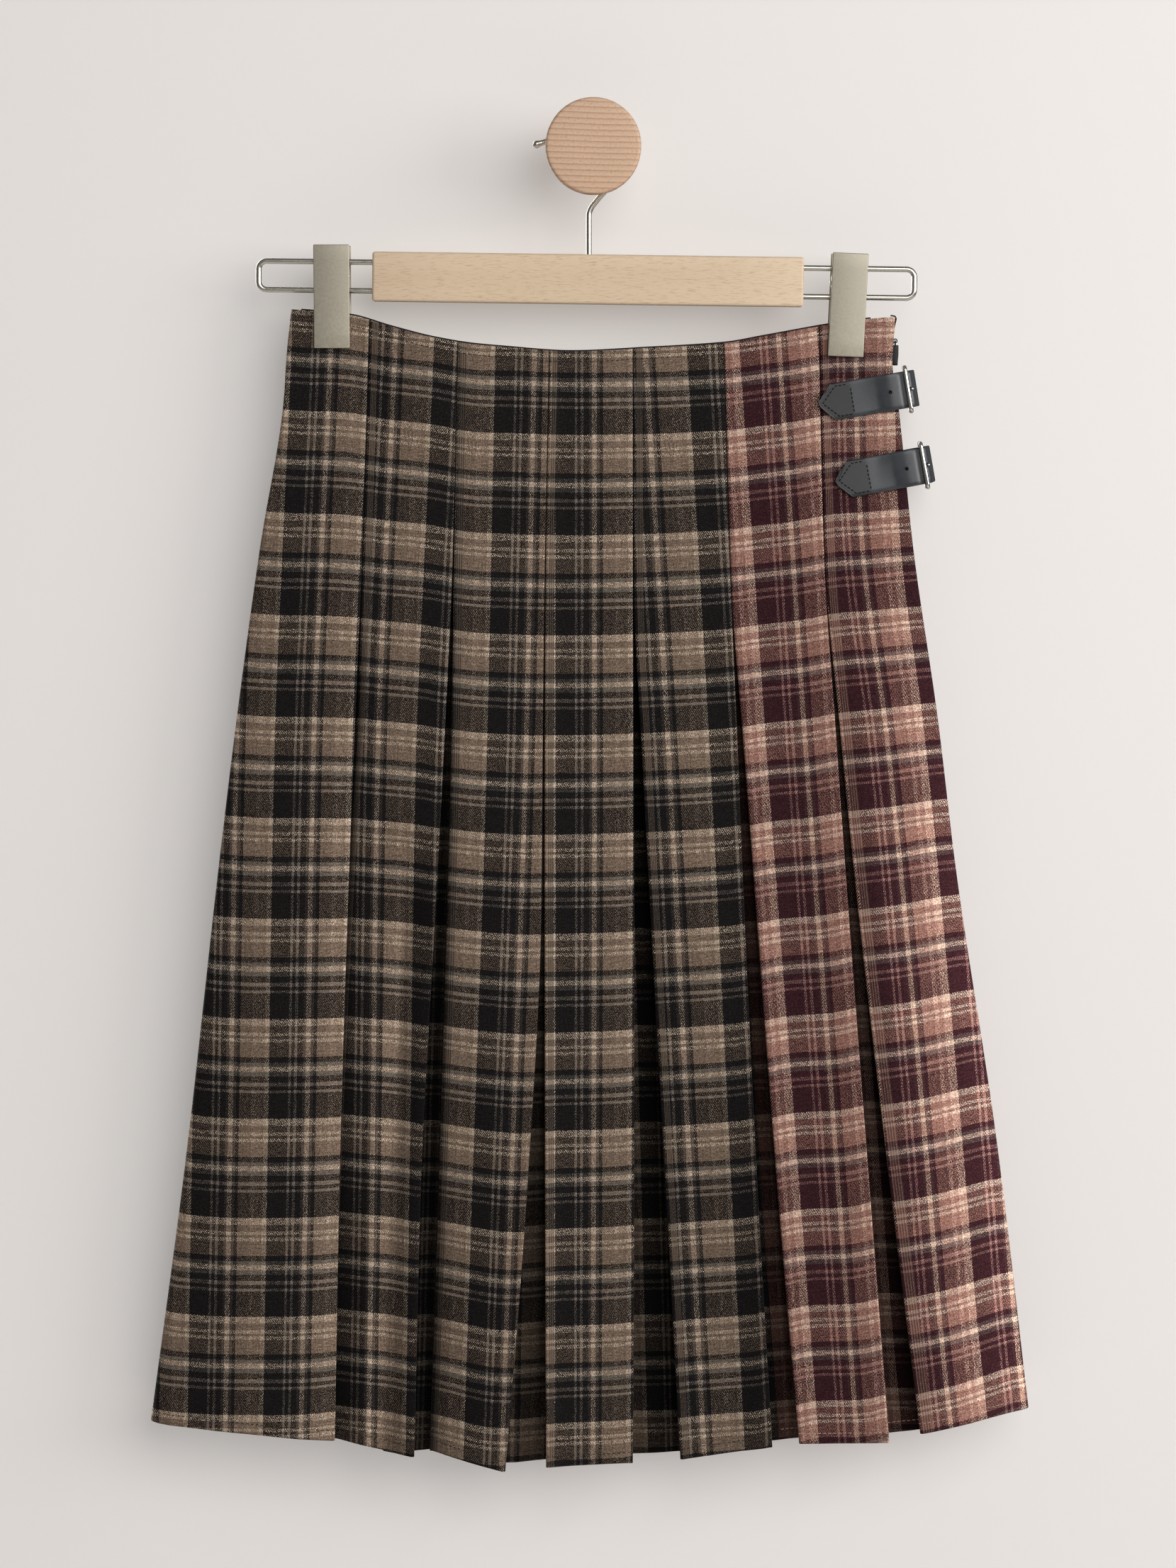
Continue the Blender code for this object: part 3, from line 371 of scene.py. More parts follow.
# %% Sizes of the skirt
CLOTH = 1.1
LAYER = 1.75
GAP = 0.3
PLEAT = 24.2
HANG_Y = -34.0
SEAM_Y_HEM = -36.0
RELEASE = 0.21
TUCK_STARTS = 0.36
SEAM_SHARES = (0.0, 0.04, 0.08, 0.21, 0.36, 0.50, 0.75, 1.0)
SEAM_X = {
    "left": (-187.1, -190.3, -192.3, -207.7, -222.9, -235.6, -256.8, -281.6),
    "right": (187.4, 185.6, 189.6, 199.7, 215.4, 227.8, 255.1, 277.2),
}
SEAM_HEM_Z = {"left": -800.4, "right": -792.2}
WAIST_X = (-187.1, -150.9, -124.6, -99.2, -75.5, -57.5, -13.1, 33.0, 81.3, 106.3, 145.3, 169.4, 187.4)
WAIST_Z = (-98.9, -102.4, -109.8, -116.3, -120.3, -122.0, -125.0, -122.9, -119.8, -115.5, -108.5, -105.0, -103.6)
FOLD_SHARES = (0.0, RELEASE, TUCK_STARTS, 0.50, 0.75, 1.0)
PLEATS = {  # for the left and the right fold: x down its length, the hem's z, how far it lies back there
    "a_b": (((-138.5, -143.6, -148.6, -152.9, -159.2, -163.4), -809.5, 0.0),
            ((-138.5, -143.6, -148.6, -155.3, -163.9, -171.0), -809.5, 11.0)),
    "b_c": (((-83.7, -87.8, -93.0, -98.4, -108.1, -112.9), -818.5, 1.0),
            ((-83.7, -86.7, -88.6, -91.4, -97.2, -103.6), -817.2, 8.0)),
    "c_d": (((-27.2, -30.3, -31.6, -32.5, -41.6, -55.3), -826.3, 0.0),
            ((-27.2, -29.7, -30.3, -30.5, -30.3, -29.8), -825.8, 1.0)),
    "d_e": (((24.6, 24.7, 25.1, 25.5, 25.8, 25.1), -823.1, 1.0),
            ((24.6, 25.3, 30.4, 35.7, 45.5, 55.1), -820.8, 1.0)),
    "e_f": (((80.7, 85.4, 89.9, 94.1, 102.7, 113.1), -812.2, 4.0),
            ((80.7, 85.4, 93.6, 101.2, 114.8, 130.1), -810.8, 2.0)),
    "f_g": (((139.9, 143.8, 151.1, 158.3, 172.3, 186.8), -809.0, 2.0),
            ((139.9, 143.8, 153.6, 163.5, 184.0, 206.0), -802.7, 2.0)),
}
TUCKED = {"a_b": 18.0}
COLOUR_PLEAT = "e_f"
COLOUR_SEAM = 0.42
BACK_GAP_HEM = 12.0
DEPTH = {"front": (9.2, 12.0, 16.0, 20.0, 24.5, 28.0), "back": (9.2, 11.0, 14.0, 16.5, 21.0, 24.0)}
CROWN_POWER = (6.0, 2.8)
PINCHED = 5.75
CLIP_X = (-161.8, 157.6)
ZIP_OPEN = ((0.0, 0.035, 0.085), (3.6, 2.4, GAP))
INTO = {"front": 1.0, "back": -1.0}


# %% The body that the cloth lies on
def seam_x(side, share):
    """x of a side seam, in by half the cloth."""
    return smooth_curve(SEAM_SHARES, SEAM_X[side], share) + (CLOTH / 2 if side == "left" else -CLOTH / 2)


def seam_y(share):
    """y of the side seams, which lean back a little towards the hem."""
    return HANG_Y + (SEAM_Y_HEM - HANG_Y) * share


def waist_z(x):
    """The waist edge sags between the clips."""
    return smooth_curve(WAIST_X, WAIST_Z, x)


def hem_z(x):
    """The hem's height over a place on the waist edge."""
    xs = [SEAM_X["left"][0]] + [folds[0][0][0] for folds in PLEATS.values()] + [SEAM_X["right"][0]]
    zs = [SEAM_HEM_Z["left"]] + [folds[0][1] for folds in PLEATS.values()] + [SEAM_HEM_Z["right"]]
    return smooth_curve(xs, zs, x)


def across_body(x, share):
    """-1 at the left seam, 0 in the middle and 1 at the right seam."""
    left, right = seam_x("left", share), seam_x("right", share)
    return np.clip((x - (left + right) / 2) / ((right - left) / 2), -1, 1)


def stand_out(face, x, share):
    """Depth times (1 - |q|^p)^(1/p), a flat-topped oval over q from seam to seam, pressed in at the clips."""
    power = CROWN_POWER[0] + (CROWN_POWER[1] - CROWN_POWER[0]) * share
    depth = smooth_curve(FOLD_SHARES, DEPTH[face], share)
    crowned = depth * (1 - np.abs(across_body(x, share)) ** power) ** (1 / power)
    near = np.min([np.abs(x - clip) for clip in CLIP_X], axis=0)
    pressed = fade(-near, -70.0, -13.0) * fade(-share, -0.20, -0.035)
    return np.minimum(crowned, crowned * (1 - pressed) + PINCHED * pressed)


# %% [markdown]
# Pressed cloth is never quite flat. Long soft troughs and ridges run down from the sewn part, fanning out
# with the skirt and growing towards the hem. Every layer at the same place moves by the same amount, so
# layers never cut through each other. The back has its own troughs, as uneven as the front's.

# %% Soft creases
CREASES = {  # place across the body at the hem, width, share where it starts, height at the hem, drift
    "front": (
        (-0.91, 0.057, 0.13, -2.7, -0.02), (-0.77, 0.1, 0.1, -2.7, 0.04), (-0.64, 0.034, 0.5, 2.2, -0.03),
        (-0.63, 0.041, 0.09, -2.7, -0.03), (-0.57, 0.1, 0, -2.7, 0.01), (-0.57, 0.042, 0.45, -2.7, -0.05),
        (-0.47, 0.045, 0.2, -2.7, -0.01), (-0.36, 0.029, 0.35, -2.7, -0.05), (-0.33, 0.062, 0.32, -2.7, -0.04),
        (-0.24, 0.082, 0.36, 2.7, 0.05), (-0.17, 0.036, 0.38, 2.7, 0.02), (-0.07, 0.079, 0.12, -2.7, -0.05),
        (0.01, 0.1, 0.06, -2.7, -0.02), (0.09, 0.1, 0, -2.7, -0), (0.21, 0.056, 0.19, -2.7, -0.05),
        (0.28, 0.082, 0.32, -2.7, -0.05), (0.4, 0.04, 0.19, 2.7, 0.04), (0.47, 0.031, 0.32, -1.8, -0.03),
        (0.51, 0.066, 0.04, -1.3, 0.04), (0.69, 0.1, 0.32, 4.5, 0.01), (0.76, 0.054, 0.03, 4.5, -0),
        (0.84, 0.067, 0.04, 4.5, -0.01), (0.98, 0.087, 0, -6.9, 0.04), (1, 0.052, 0, -6.9, 0.01),
    ),
    "back": (
        (-0.90, 0.04, 0.35, -2.0, 0.01), (-0.77, 0.05, 0.28, 2.1, 0.02), (-0.60, 0.04, 0.45, -1.7, 0.0),
        (-0.46, 0.03, 0.55, 1.5, 0.01), (-0.31, 0.04, 0.33, -1.8, 0.0), (-0.16, 0.035, 0.5, 1.7, -0.01),
        (0.02, 0.04, 0.40, -1.6, 0.0), (0.17, 0.03, 0.6, 1.3, 0.01), (0.34, 0.045, 0.30, 2.0, -0.02),
        (0.50, 0.03, 0.5, -1.5, 0.0), (0.66, 0.04, 0.42, 1.6, -0.01), (0.79, 0.035, 0.36, -1.9, 0.0),
        (0.92, 0.03, 0.5, 1.8, 0.0),
    ),
}
print("creases", {face: len(rows) for face, rows in CREASES.items()})
HEM_TURN = 6.4  # how far above the edge the turned hem is stitched
LENGTH = 695.0


def crease_height(face, x, share):
    """Sum of height * fade(share) * exp(-((q - q0) / width)^2), still at the seams and over the hips."""
    q = across_body(x, share)
    total = 0.25 * np.sin(9.0 * q + 5.0 * share) * fade(share, 0.15, 0.6)
    for middle, width, start, height, drift in CREASES[face]:
        here = middle + drift * np.sin(3.0 * (1 - share))
        total = total + height * fade(share, start, start + 0.55) * np.exp(-(((q - here) / width) ** 2))
    ripple = 0.35 * np.sin(x / 7.3 + 3.1) * np.sin(x / 19.0) * fade(-share, -0.16, -0.03)
    return (total + ripple) * (1 - np.abs(q) ** 10)


def edge_relief(share):
    """The turned hem and waist stand a little proud, with a groove where their stitches pull in."""
    relief = 0.0
    for distance in ((1 - share) * LENGTH, share * LENGTH):
        relief = relief + 0.35 * fade(-distance, -HEM_TURN - 1.5, -HEM_TURN + 1.0)
        relief = relief - 0.35 * np.exp(-(((distance - HEM_TURN) / 0.9) ** 2))
    return relief


# %% [markdown]
# A fold isn't a sharp corner. `rounded_turn` carries the cloth round it on two quadratic curves that share
# their tangent at the fold's outermost point. The layer inside a pleat keeps its length as the pleat
# opens, so it swings from flat under the panel towards straight back.

# %% One pleat
NEAR_FOLD = 1.3
STEPS = np.linspace(0, 1, 4)[None, :, None]


def rounded_turn(start, corner, next_corner, end):
    """(1-t)^2 a + 2t(1-t) b + t^2 c, once to the middle of the fold's end and once from it."""
    middle = (corner + next_corner) / 2
    first, second = [
        (1 - STEPS) ** 2 * a[:, None] + 2 * STEPS * (1 - STEPS) * b[:, None] + STEPS**2 * c[:, None]
        for a, b, c in ((start, corner, middle), (middle, next_corner, end))
    ]
    return np.concatenate([first, second[:, 1:]], axis=1)


def fold_pair(face, pleat, share):
    """x of a pleat's two folds and how far each lies back; on the back they part evenly."""
    (left_x, _, left_back), (right_x, _, right_back) = PLEATS[pleat]
    left, right = [smooth_curve(FOLD_SHARES, table, share) for table in (left_x, right_x)]
    below = np.clip((share - RELEASE) / (1 - RELEASE), 0, 1)
    if face == "back":
        middle = (left + right) / 2
        left, right = middle - BACK_GAP_HEM / 2 * below**1.3, middle + BACK_GAP_HEM / 2 * below**1.3
        left_back = right_back = 0.0
    short = np.maximum(GAP - (right - left), 0) / 2
    if pleat in TUCKED and face == "front":
        short = np.where(share <= TUCK_STARTS, short, 0)
    return left - short - CLOTH / 2, right + short + CLOTH / 2, left_back * below**0.65, right_back * below**0.65


def pleat_path(face, pleat, share):
    """Places (x, distance behind the panels) through a pleat, one row of places for each share."""
    left, right, left_back, right_back = fold_pair(face, pleat, share)
    gap = right - left - CLOTH
    reach = PLEAT - np.maximum(gap, 0) / 2
    depth = np.sqrt(np.maximum(PLEAT**2 - reach**2, 0))
    depth = np.maximum(depth, 2 * LAYER + np.maximum(left_back, right_back))
    if pleat in TUCKED and face == "front":
        depth = np.maximum(depth, TUCKED[pleat] * np.clip((share - RELEASE) / (1 - RELEASE), 0, 1))
    swung = np.sqrt(PLEAT**2 - np.clip(depth - 2 * LAYER, 0, PLEAT - 1) ** 2)
    reach = np.minimum(reach, swung)
    halves = []
    for edge, back, side in ((left, left_back, -1), (right, right_back, 1)):
        turn = edge + side * reach
        corners = [np.stack(pair, axis=-1) for pair in (
            (edge + side * NEAR_FOLD, back), (edge, back), (edge, back + LAYER),
            (turn, depth - LAYER), (turn, depth), (turn - side * NEAR_FOLD, depth))]
        ahead = unit(corners[3] - corners[2]) * NEAR_FOLD
        first = rounded_turn(corners[0], corners[1], corners[2], corners[2] + ahead)
        last = rounded_turn(corners[3] - ahead, corners[3], corners[4], corners[5])
        under = [first[:, -1] * (1 - f) + last[:, 0] * f for f in (0.33, 0.67)]
        halves.append(np.concatenate([first, np.stack(under, axis=1), last], axis=1))
    return halves[0], halves[1][:, ::-1]


# %% [markdown]
# ## Where the check falls
# The check repeats every 48 mm across and about 62 mm down. The maker folded each pleat so that a black
# stripe or a beige line lands where it does, and the cloth hangs a little off the straight at the sides.
# So the stripes' place is a short table for each panel, and the cloth inside a pleat is shared out between
# its neighbours. These numbers become the UV map, in whole repeats.

# %% The check's place
REPEAT = 48.0
STRIPE_SHARES = (0.0, 0.12, 0.2, 0.375, 0.75, 0.9, 1.0)
STRIPES = {  # x of a black stripe's left edge down each panel, and the repeat there
    "a": ((-186.5, -190.5, -193.4, -199.0, -205.2, -207.8, -209.5), 48.0),
    "b": ((-99.0, -102.9, -105.8, -111.2, -115.9, -117.8, -119.0), 48.0),
    "c": ((-61.2, -63.1, -64.3, -67.2, -76.4, -80.1, -82.5), 48.0),
    "d": ((-24.3, -24.3, -24.3, -24.2, -24.7, -24.9, -25.0), 48.0),
    "e": ((57.0, 61.9, 65.2, 72.3, 85.8, 91.3, 95.0), 51.5),
    "f": ((89.4, 95.2, 99.0, 107.6, 128.0, 136.3, 141.8), 48.0),
    "g": ((185.5, 187.0, 190.0, 205.9, 231.6, 240.8, 248.6), 48.0),
}
BACK_SHIFT = {"a": 0.31, "b": 0.52, "c": 0.38, "d": 0.47, "e": 0.60, "f": 0.42, "g": 0.55}
ROW_X = (-173, -160, -147, -130, -95, -75, -40, -16, 14, 36, 71, 91, 128, 144, 162, 182)
ROW_START = (62.7, 61.7, 60.9, 59.0, 54.4, 54.9, 53.1, 52.4, 53.1, 54.1, 54.5, 55.1, 56.9, 56.7, 58.6, 59.6)
ROW_REPEAT = (63.15, 63.1, 62.9, 62.3, 62.1, 62.0, 62.3, 62.1, 62.0, 61.7, 61.5, 61.1, 61.35, 61.2, 60.8, 60.2)
BACK_ROW_SHIFT = 2.2

# %% [markdown]
# The cloth is brushed. Some stretches of each panel are painted lighter or darker: painted light and shade
# where more or less light falls on them. A short table holds them, each as a soft step across a panel and another
# down it.

# %% Painted panel light and places
# Painted light and shade: each row paints a stretch of a panel lighter, or darker with a negative amount.
PAINTED_PANEL_LIGHT = (  # panel, how much lighter, from where to where across it and down it
    ("a", 0.5, (0.12, 0.0), (-0.1, 0.1)),
    ("a", 0.4, (0.8, 1.0), (0.2, 0.45)),
    ("b", 0.5, (0.4, 0.54), (0.45, 0.6)),
    ("b", -0.55, (0.63, 0.76), (0.4, 0.55)),
    ("b", -0.5, (0.25, 0.0), (0.4, 0.55)),
    ("b", -0.35, (0.5, 0.3), (0.7, 0.85)),
    ("c", -0.3, (0.3, 0.0), (0.7, 0.95)),
    ("d", 0.35, (0.18, 0.0), (-0.1, 0.1)),
    ("e", -0.3, (0.2, 0.9), (0.5, 0.85)),
    ("g", 0.45, (0.05, 0.4), (0.1, 0.7)),
    ("g", 0.45, (0.6, 1.0), (0.15, 0.6)),
)


def painted_light_and_brushing(face, panel, across, share):
    """How light a stretch of a panel is painted: painted light and shade, a product of 1 + amount * fade across *
    fade down.
    """
    light = np.ones(np.broadcast(across, share).shape)
    for where, amount, side, down in PAINTED_PANEL_LIGHT if face == "front" else ():
        if where == panel:
            light = light * (1 + amount * fade(across, *side) * fade(share, *down))
    return light


def across_check(face, panel, x, share):
    """Repeats from a black stripe's left edge."""
    table, repeat = STRIPES[panel]
    shift = BACK_SHIFT[panel] if face == "back" else 0.0
    return (x - smooth_curve(STRIPE_SHARES, table, share)) / repeat + shift


def down_check(face, waist_x, z):
    """Repeats below the top of the first beige row, which starts a little way under the waist edge."""
    start = smooth_curve(ROW_X, ROW_START, waist_x) + (BACK_ROW_SHIFT if face == "back" else 0.0)
    return (waist_z(waist_x) - z - start) / smooth_curve(ROW_X, ROW_REPEAT, waist_x)


# %% [markdown]
# A row of the cloth is joined from runs: a panel, the pleat after it, the next panel, and so on. With each
# place of a run goes what it needs later: how low its hem hangs, where it starts on the waist edge, its place
# on the check, and the painted light and shade that its colour is multiplied by.

# %% One run of a row
SEAM_STEPS = np.array([0, 0.002, 0.006, 0.012, 0.02, 0.032, 0.05, 0.075, 0.11, 0.16, 0.22, 0.29, 0.37, 0.46,
                       0.55, 0.64, 0.73, 0.82, 0.91, 1.0])
PANEL_STEPS = np.linspace(0, 1, 15)
HIDDEN_STEPS = {"plain": np.linspace(0, 1, 9)[1:-1], "joined": np.array([0.14, 0.28, 0, 0, 0.57, 0.72, 0.86])}
FINE_ROWS = np.array([0, 1.5, 3.5, 5.4, 6.4, 7.4, 9.5, 13.0]) / LENGTH
HIDDEN_BEFORE_SEAM = 3
FOLD_SHADE = 2.0
SHARES = np.concatenate([FINE_ROWS, np.linspace(0.03, 0.97, 86), 1 - FINE_ROWS[::-1]])


def panel_run(face, number, before, after):
    """A panel: places from the end of the run before to the start of the one after, finer at a side seam."""
    panel = list(STRIPES)[number]
    steps = {0: SEAM_STEPS, len(PLEATS): 1 - SEAM_STEPS[::-1]}.get(number, PANEL_STEPS)
    steps = steps[(1 if number else 0):(-1 if number < len(PLEATS) else None)]
    run = before[0][:, -1:] * (1 - steps[:, None]) + after[0][:, :1] * steps[:, None]
    hem = before[1][-1] * (1 - steps) + after[1][0] * steps
    warp = across_check(face, panel, run[..., 0], SHARES[:, None])
    # The last value is the panel's painted light and shade.
    return run, hem, run[0, :, 0], warp, painted_light_and_brushing(face, panel, steps, SHARES[:, None])


def pleat_run(face, number):
    """A pleat, with the hidden layer between its two halves and the seam where the colour changes.

    The check inside is shared out over whole repeats, but on either side of that seam it just runs on. Deep in
    the pleat the colour is darkened as painted shade: for half an opening h and a place d behind it the painted
    light is h / sqrt(h^2 + (shade d)^2).
    """
    pleat, (panel, next_panel) = list(PLEATS)[number], list(STRIPES)[number:number + 2]
    before, after = pleat_path(face, pleat, SHARES)
    (_, left_hem, _), (_, right_hem, _) = PLEATS[pleat]
    joined = pleat == COLOUR_PLEAT
    f = HIDDEN_STEPS["joined" if joined else "plain"][None, :, None]
    if joined:
        width = after[:, 0, 0] - before[:, -1, 0]
        f = np.repeat(f, len(SHARES), axis=0)
        f[:, HIDDEN_BEFORE_SEAM - 1, 0] = COLOUR_SEAM - GAP / 2 / width
        f[:, HIDDEN_BEFORE_SEAM, 0] = COLOUR_SEAM + GAP / 2 / width
    hidden = before[:, -1:] * (1 - f) + after[:, :1] * f
    run = np.concatenate([before, hidden, after], axis=1)
    steps = np.linalg.norm(np.diff(run, axis=1), axis=2)
    length = np.concatenate([np.zeros((len(SHARES), 1)), np.cumsum(steps, axis=1)], axis=1)
    along = length / length[:, -1:]
    left_u = across_check(face, panel, run[:, 0, 0], SHARES)[:, None]
    right_u = across_check(face, next_panel, run[:, -1, 0], SHARES)[:, None]
    spare = np.round(np.mean(length[:, -1:] / REPEAT - (right_u - left_u)))
    warp = left_u + along * (right_u - left_u + spare)
    seam = before.shape[1] + HIDDEN_BEFORE_SEAM
    if joined:
        warp = np.concatenate([left_u + length[:, :seam] / REPEAT,
                               right_u - (length[:, -1:] - length[:, seam:]) / REPEAT], axis=1)
    # Painted shade: the colour darkens with depth behind the pleat's opening.
    half_open = 1 + np.maximum(run[:, -1:, 0] - run[:, :1, 0] - 2 * NEAR_FOLD - CLOTH, 0) / 2
    light = half_open / np.hypot(half_open, FOLD_SHADE * np.maximum(run[..., 1] - 1.5, 0))
    share_across = np.clip(along[0], 0, 1)
    waist = run[0, 0, 0] * (1 - share_across) + run[0, -1, 0] * share_across
    behind = left_hem + (right_hem - left_hem) * f[0, :, 0]
    hem = np.concatenate([np.full(before.shape[1], left_hem), behind, np.full(after.shape[1], right_hem)])
    return run, hem, waist, warp, light, along, seam


# %% The whole front and back
def skirt_half(face):
    """Points (row, column, xyz) of one half, places on the check, light, and where its colour changes.

    The runs of all panels and pleats make whole rows, which are laid over the body and hung from the waist.
    """
    seams = [(np.stack([seam_x(side, SHARES), 0 * SHARES], axis=-1)[:, None], [SEAM_HEM_Z[side]])
             for side in ("left", "right")]
    pleats = [pleat_run(face, number) for number in range(len(PLEATS))]
    between = [seams[0], *pleats, seams[1]]
    panels = [panel_run(face, number, *between[number:number + 2]) for number in range(len(STRIPES))]
    runs = [panels[0]]
    for number, (*pleat, along, seam) in enumerate(pleats):
        # The painted panel light goes over from one panel to the next inside the pleat between them.
        panel_light, next_panel_light = panels[number][-1][:, -1:], panels[number + 1][-1][:, :1]
        pleat[-1] = pleat[-1] * (panel_light * (1 - along) + next_panel_light * along)
        if list(PLEATS)[number] == COLOUR_PLEAT:
            split = sum(run[0].shape[1] for run in runs) + seam
        runs += [pleat, panels[number + 1]]
    path, hem, waist, warp, light = [
        np.concatenate(parts, axis=min(parts[0].ndim, 2) - 1) for parts in zip(*runs)]
    x = path[..., 0]
    down = SHARES[:, None] * np.ones_like(x)
    top = waist_z(x[:1])
    z = top + down * (hem - top)
    opening = np.where(x > 150, np.interp(down, *ZIP_OPEN), GAP) / 2
    out = np.sqrt(stand_out(face, x, down) ** 2 + opening**2)
    out = out - path[..., 1] + crease_height(face, x, down) + edge_relief(down) * fade(out, 1.0, 5.0)
    points = np.stack([x, seam_y(down) - INTO[face] * out, z], axis=-1)
    check = np.stack([warp, down_check(face, waist, z)], axis=-1)
    return points, check, light, split

# %% [markdown]
# ## The check cloth
# The cloth is a brushed wool twill. Warp threads run down and weft threads across, each in its own order
# of colours, charted here as (where a stripe begins in the repeat, its yarn). In a twill one set of threads
# floats over the other along diagonals: where a light thread floats over a dark one it shows as a bead,
# and between the floats the darker of the two wins. Stripes of the same kind in both sets show solid.
# Real yarn is never even: the threads thicken and thin along their length, stray fibres break the diagonals
# up, and a fine fuzz lies over it all. An attribute paints shade into the bottoms of the pleats, where little
# light reaches, and carries the painted lighter and darker stretches of the panels.

# %% Thread orders
WARP = ((0.0, "cream"), (0.014, "dark"), (0.266, "thin"), (0.299, "dark"), (0.342, "thin"), (0.378, "dark"),
        (0.452, "smoke"), (0.487, "line"), (0.549, "smoke"), (0.588, "dark"), (0.632, "plain"), (0.792, "pale"),
        (0.845, "soft"), (0.905, "clear"), (0.955, "cream"))
WEFT = ((0.0, "cream"), (0.051, "plain"), (0.118, "cream"), (0.153, "plain"), (0.182, "cream"), (0.217, "plain"),
        (0.365, "dark"), (0.42, "smoke"), (0.459, "cream"), (0.511, "smoke"), (0.556, "dark"), (0.62, "thin"),
        (0.658, "dark"), (0.697, "thin"), (0.724, "dark"), (0.981, "cream"))
ROW_HEIGHT = 62.0  # length of one repeat down the cloth
TWILL = (1.15, 1.9)  # the diagonals' spacing across and down


# %% The cloth's shader
def check_cloth(name, warp_yarns, weft_yarns, warp_shows, weft_shows):
    """Colour = darker yarn, then warp where the twill wave is high, then weft where it is low."""
    cloth = Finish(name, warp_yarns["plain"], 0.9, Sheen_Weight=0.1, Sheen_Roughness=0.3, Specular_IOR_Level=0.05)
    where = cloth.node("UVMap", uv_map="cloth").outputs[0]
    split = cloth.node("SeparateXYZ", where)
    across, down = split.outputs[0], split.outputs[1]
    x_mm, z_mm = cloth.math("MULTIPLY", across, REPEAT), cloth.math("MULTIPLY", down, ROW_HEIGHT)
    flat = cloth.node("CombineXYZ", x_mm, z_mm).outputs[0]
    blur = cloth.math("MULTIPLY_ADD", cloth.noise(flat, 1.1, 2.0), 0.8, -0.4)
    diagonal = cloth.math("ADD", cloth.math("DIVIDE", x_mm, TWILL[0]), cloth.math("DIVIDE", z_mm, TWILL[1]))
    phase = cloth.math("ADD", diagonal, blur)
    stray = cloth.math("MULTIPLY_ADD", cloth.noise(flat, 1.9, 1.0), 6.0, -3.0)
    twill = cloth.math("ADD", cloth.math("SINE", cloth.math("MULTIPLY", phase, 2 * pi)), stray)
    wander = cloth.math("MULTIPLY_ADD", cloth.noise(flat, 0.9, 2.0), 0.014, -0.007)
    threads = []
    sets = ((across, WARP, warp_yarns, (0.9, 0.16)), (down, WEFT, weft_yarns, (0.16, 0.9)))
    for place, order, yarns, spin in sets:
        stops = [(begin, linear(yarns[yarn])) for begin, yarn in order]
        yarn = cloth.ramp(cloth.math("FRACT", cloth.math("ADD", place, wander)), stops, "CONSTANT")
        along = cloth.node("VectorMath", flat, (*spin, 1.0), operation="MULTIPLY").outputs[0]
        uneven = cloth.math("MULTIPLY_ADD", cloth.noise(along, 1.0, 2.0, 0.6), 1.9, 0.05)
        shade = cloth.node("CombineColor", uneven, uneven, uneven).outputs[0]
        threads.append(cloth.mix(1.0, yarn, shade, "MULTIPLY"))
    warp, weft = threads
    colour = cloth.mix(1.0, warp, weft, "DARKEN")
    colour = cloth.mix(cloth.math("MULTIPLY_ADD", twill, 1.9, warp_shows, clamp=True), colour, warp)
    colour = cloth.mix(cloth.math("MULTIPLY_ADD", twill, -1.9, weft_shows, clamp=True), colour, weft)
    fuzz = cloth.noise(flat, 1.25, 3.0, 0.7)
    slub = cloth.math("MULTIPLY_ADD", cloth.noise(flat, 0.75, 2.0, 0.6), 1.5, 0.25)
    grain = cloth.math("MULTIPLY_ADD", fuzz, 3.6, -0.8)
    cloud = cloth.math("MULTIPLY_ADD", cloth.noise(flat, 0.035, 2.0), 0.24, 0.88)
    light = cloth.math("MULTIPLY", cloth.math("MULTIPLY", grain, cloud), slub)
    # Painted light and shade: the colour is multiplied by the attribute that darkens the bottoms of the pleats and
    # lightens or darkens stretches of the panels.
    in_fold = cloth.node("Attribute", attribute_name="light_in_fold").outputs["Fac"]
    light = cloth.math("MULTIPLY", light, in_fold)
    shade = cloth.node("CombineColor", light, light, light).outputs[0]
    cloth.colour(cloth.mix(1.0, colour, shade, "MULTIPLY"))
    height = cloth.math("ADD", cloth.math("MULTIPLY", twill, 0.2), cloth.math("MULTIPLY", fuzz, 1.2))
    cloth.bump(height, 0.0001, 0.8)
    return cloth.material


INK, TAUPE, SAND = (26, 24, 24), (111, 95, 82), (194, 176, 156)
BLACK_WARP = {"dark": INK, "smoke": (72, 64, 58), "thin": (106, 98, 92), "plain": TAUPE, "pale": (136, 119, 105),
              "soft": (126, 108, 93), "clear": (120, 103, 88), "line": (162, 145, 129), "cream": (157, 141, 125)}
BLACK_WEFT = BLACK_WARP | {"smoke": (90, 86, 80), "thin": (110, 101, 94), "cream": SAND}
black_check = check_cloth("black_check_wool", BLACK_WARP, BLACK_WEFT, -0.95, -0.82)
WINE, ROSE, BLUSH, CREAM = (50, 27, 31), (132, 96, 86), (200, 165, 147), (193, 169, 153)
WINE_WARP = {"dark": WINE, "smoke": (66, 49, 48), "thin": (137, 103, 98), "plain": ROSE, "pale": (184, 147, 132),
             "soft": (152, 114, 102), "clear": BLUSH, "line": (176, 149, 131), "cream": (192, 160, 143)}
WINE_WEFT = WINE_WARP | {"smoke": (87, 75, 73), "thin": (121, 89, 85), "cream": CREAM}
burgundy_check = check_cloth("burgundy_check_wool", WINE_WARP, WINE_WEFT, -0.55, -0.2)

# %% The four sheets of cloth
SHEETS = {}


def flat_cut(points):
    """Width and length that the sheet had when flat, and its area, from the lengths along the grid."""
    across = np.linalg.norm(np.diff(points, axis=1), axis=2)
    down = np.linalg.norm(np.diff(points, axis=0), axis=2)
    a, b, c, d = points[:-1, :-1], points[1:, :-1], points[1:, 1:], points[:-1, 1:]
    area = np.linalg.norm(np.cross(c - a, d - b), axis=2).sum() / 2
    return across.sum(axis=1).max() * MM, down.sum(axis=0).max() * MM, area * MM**2


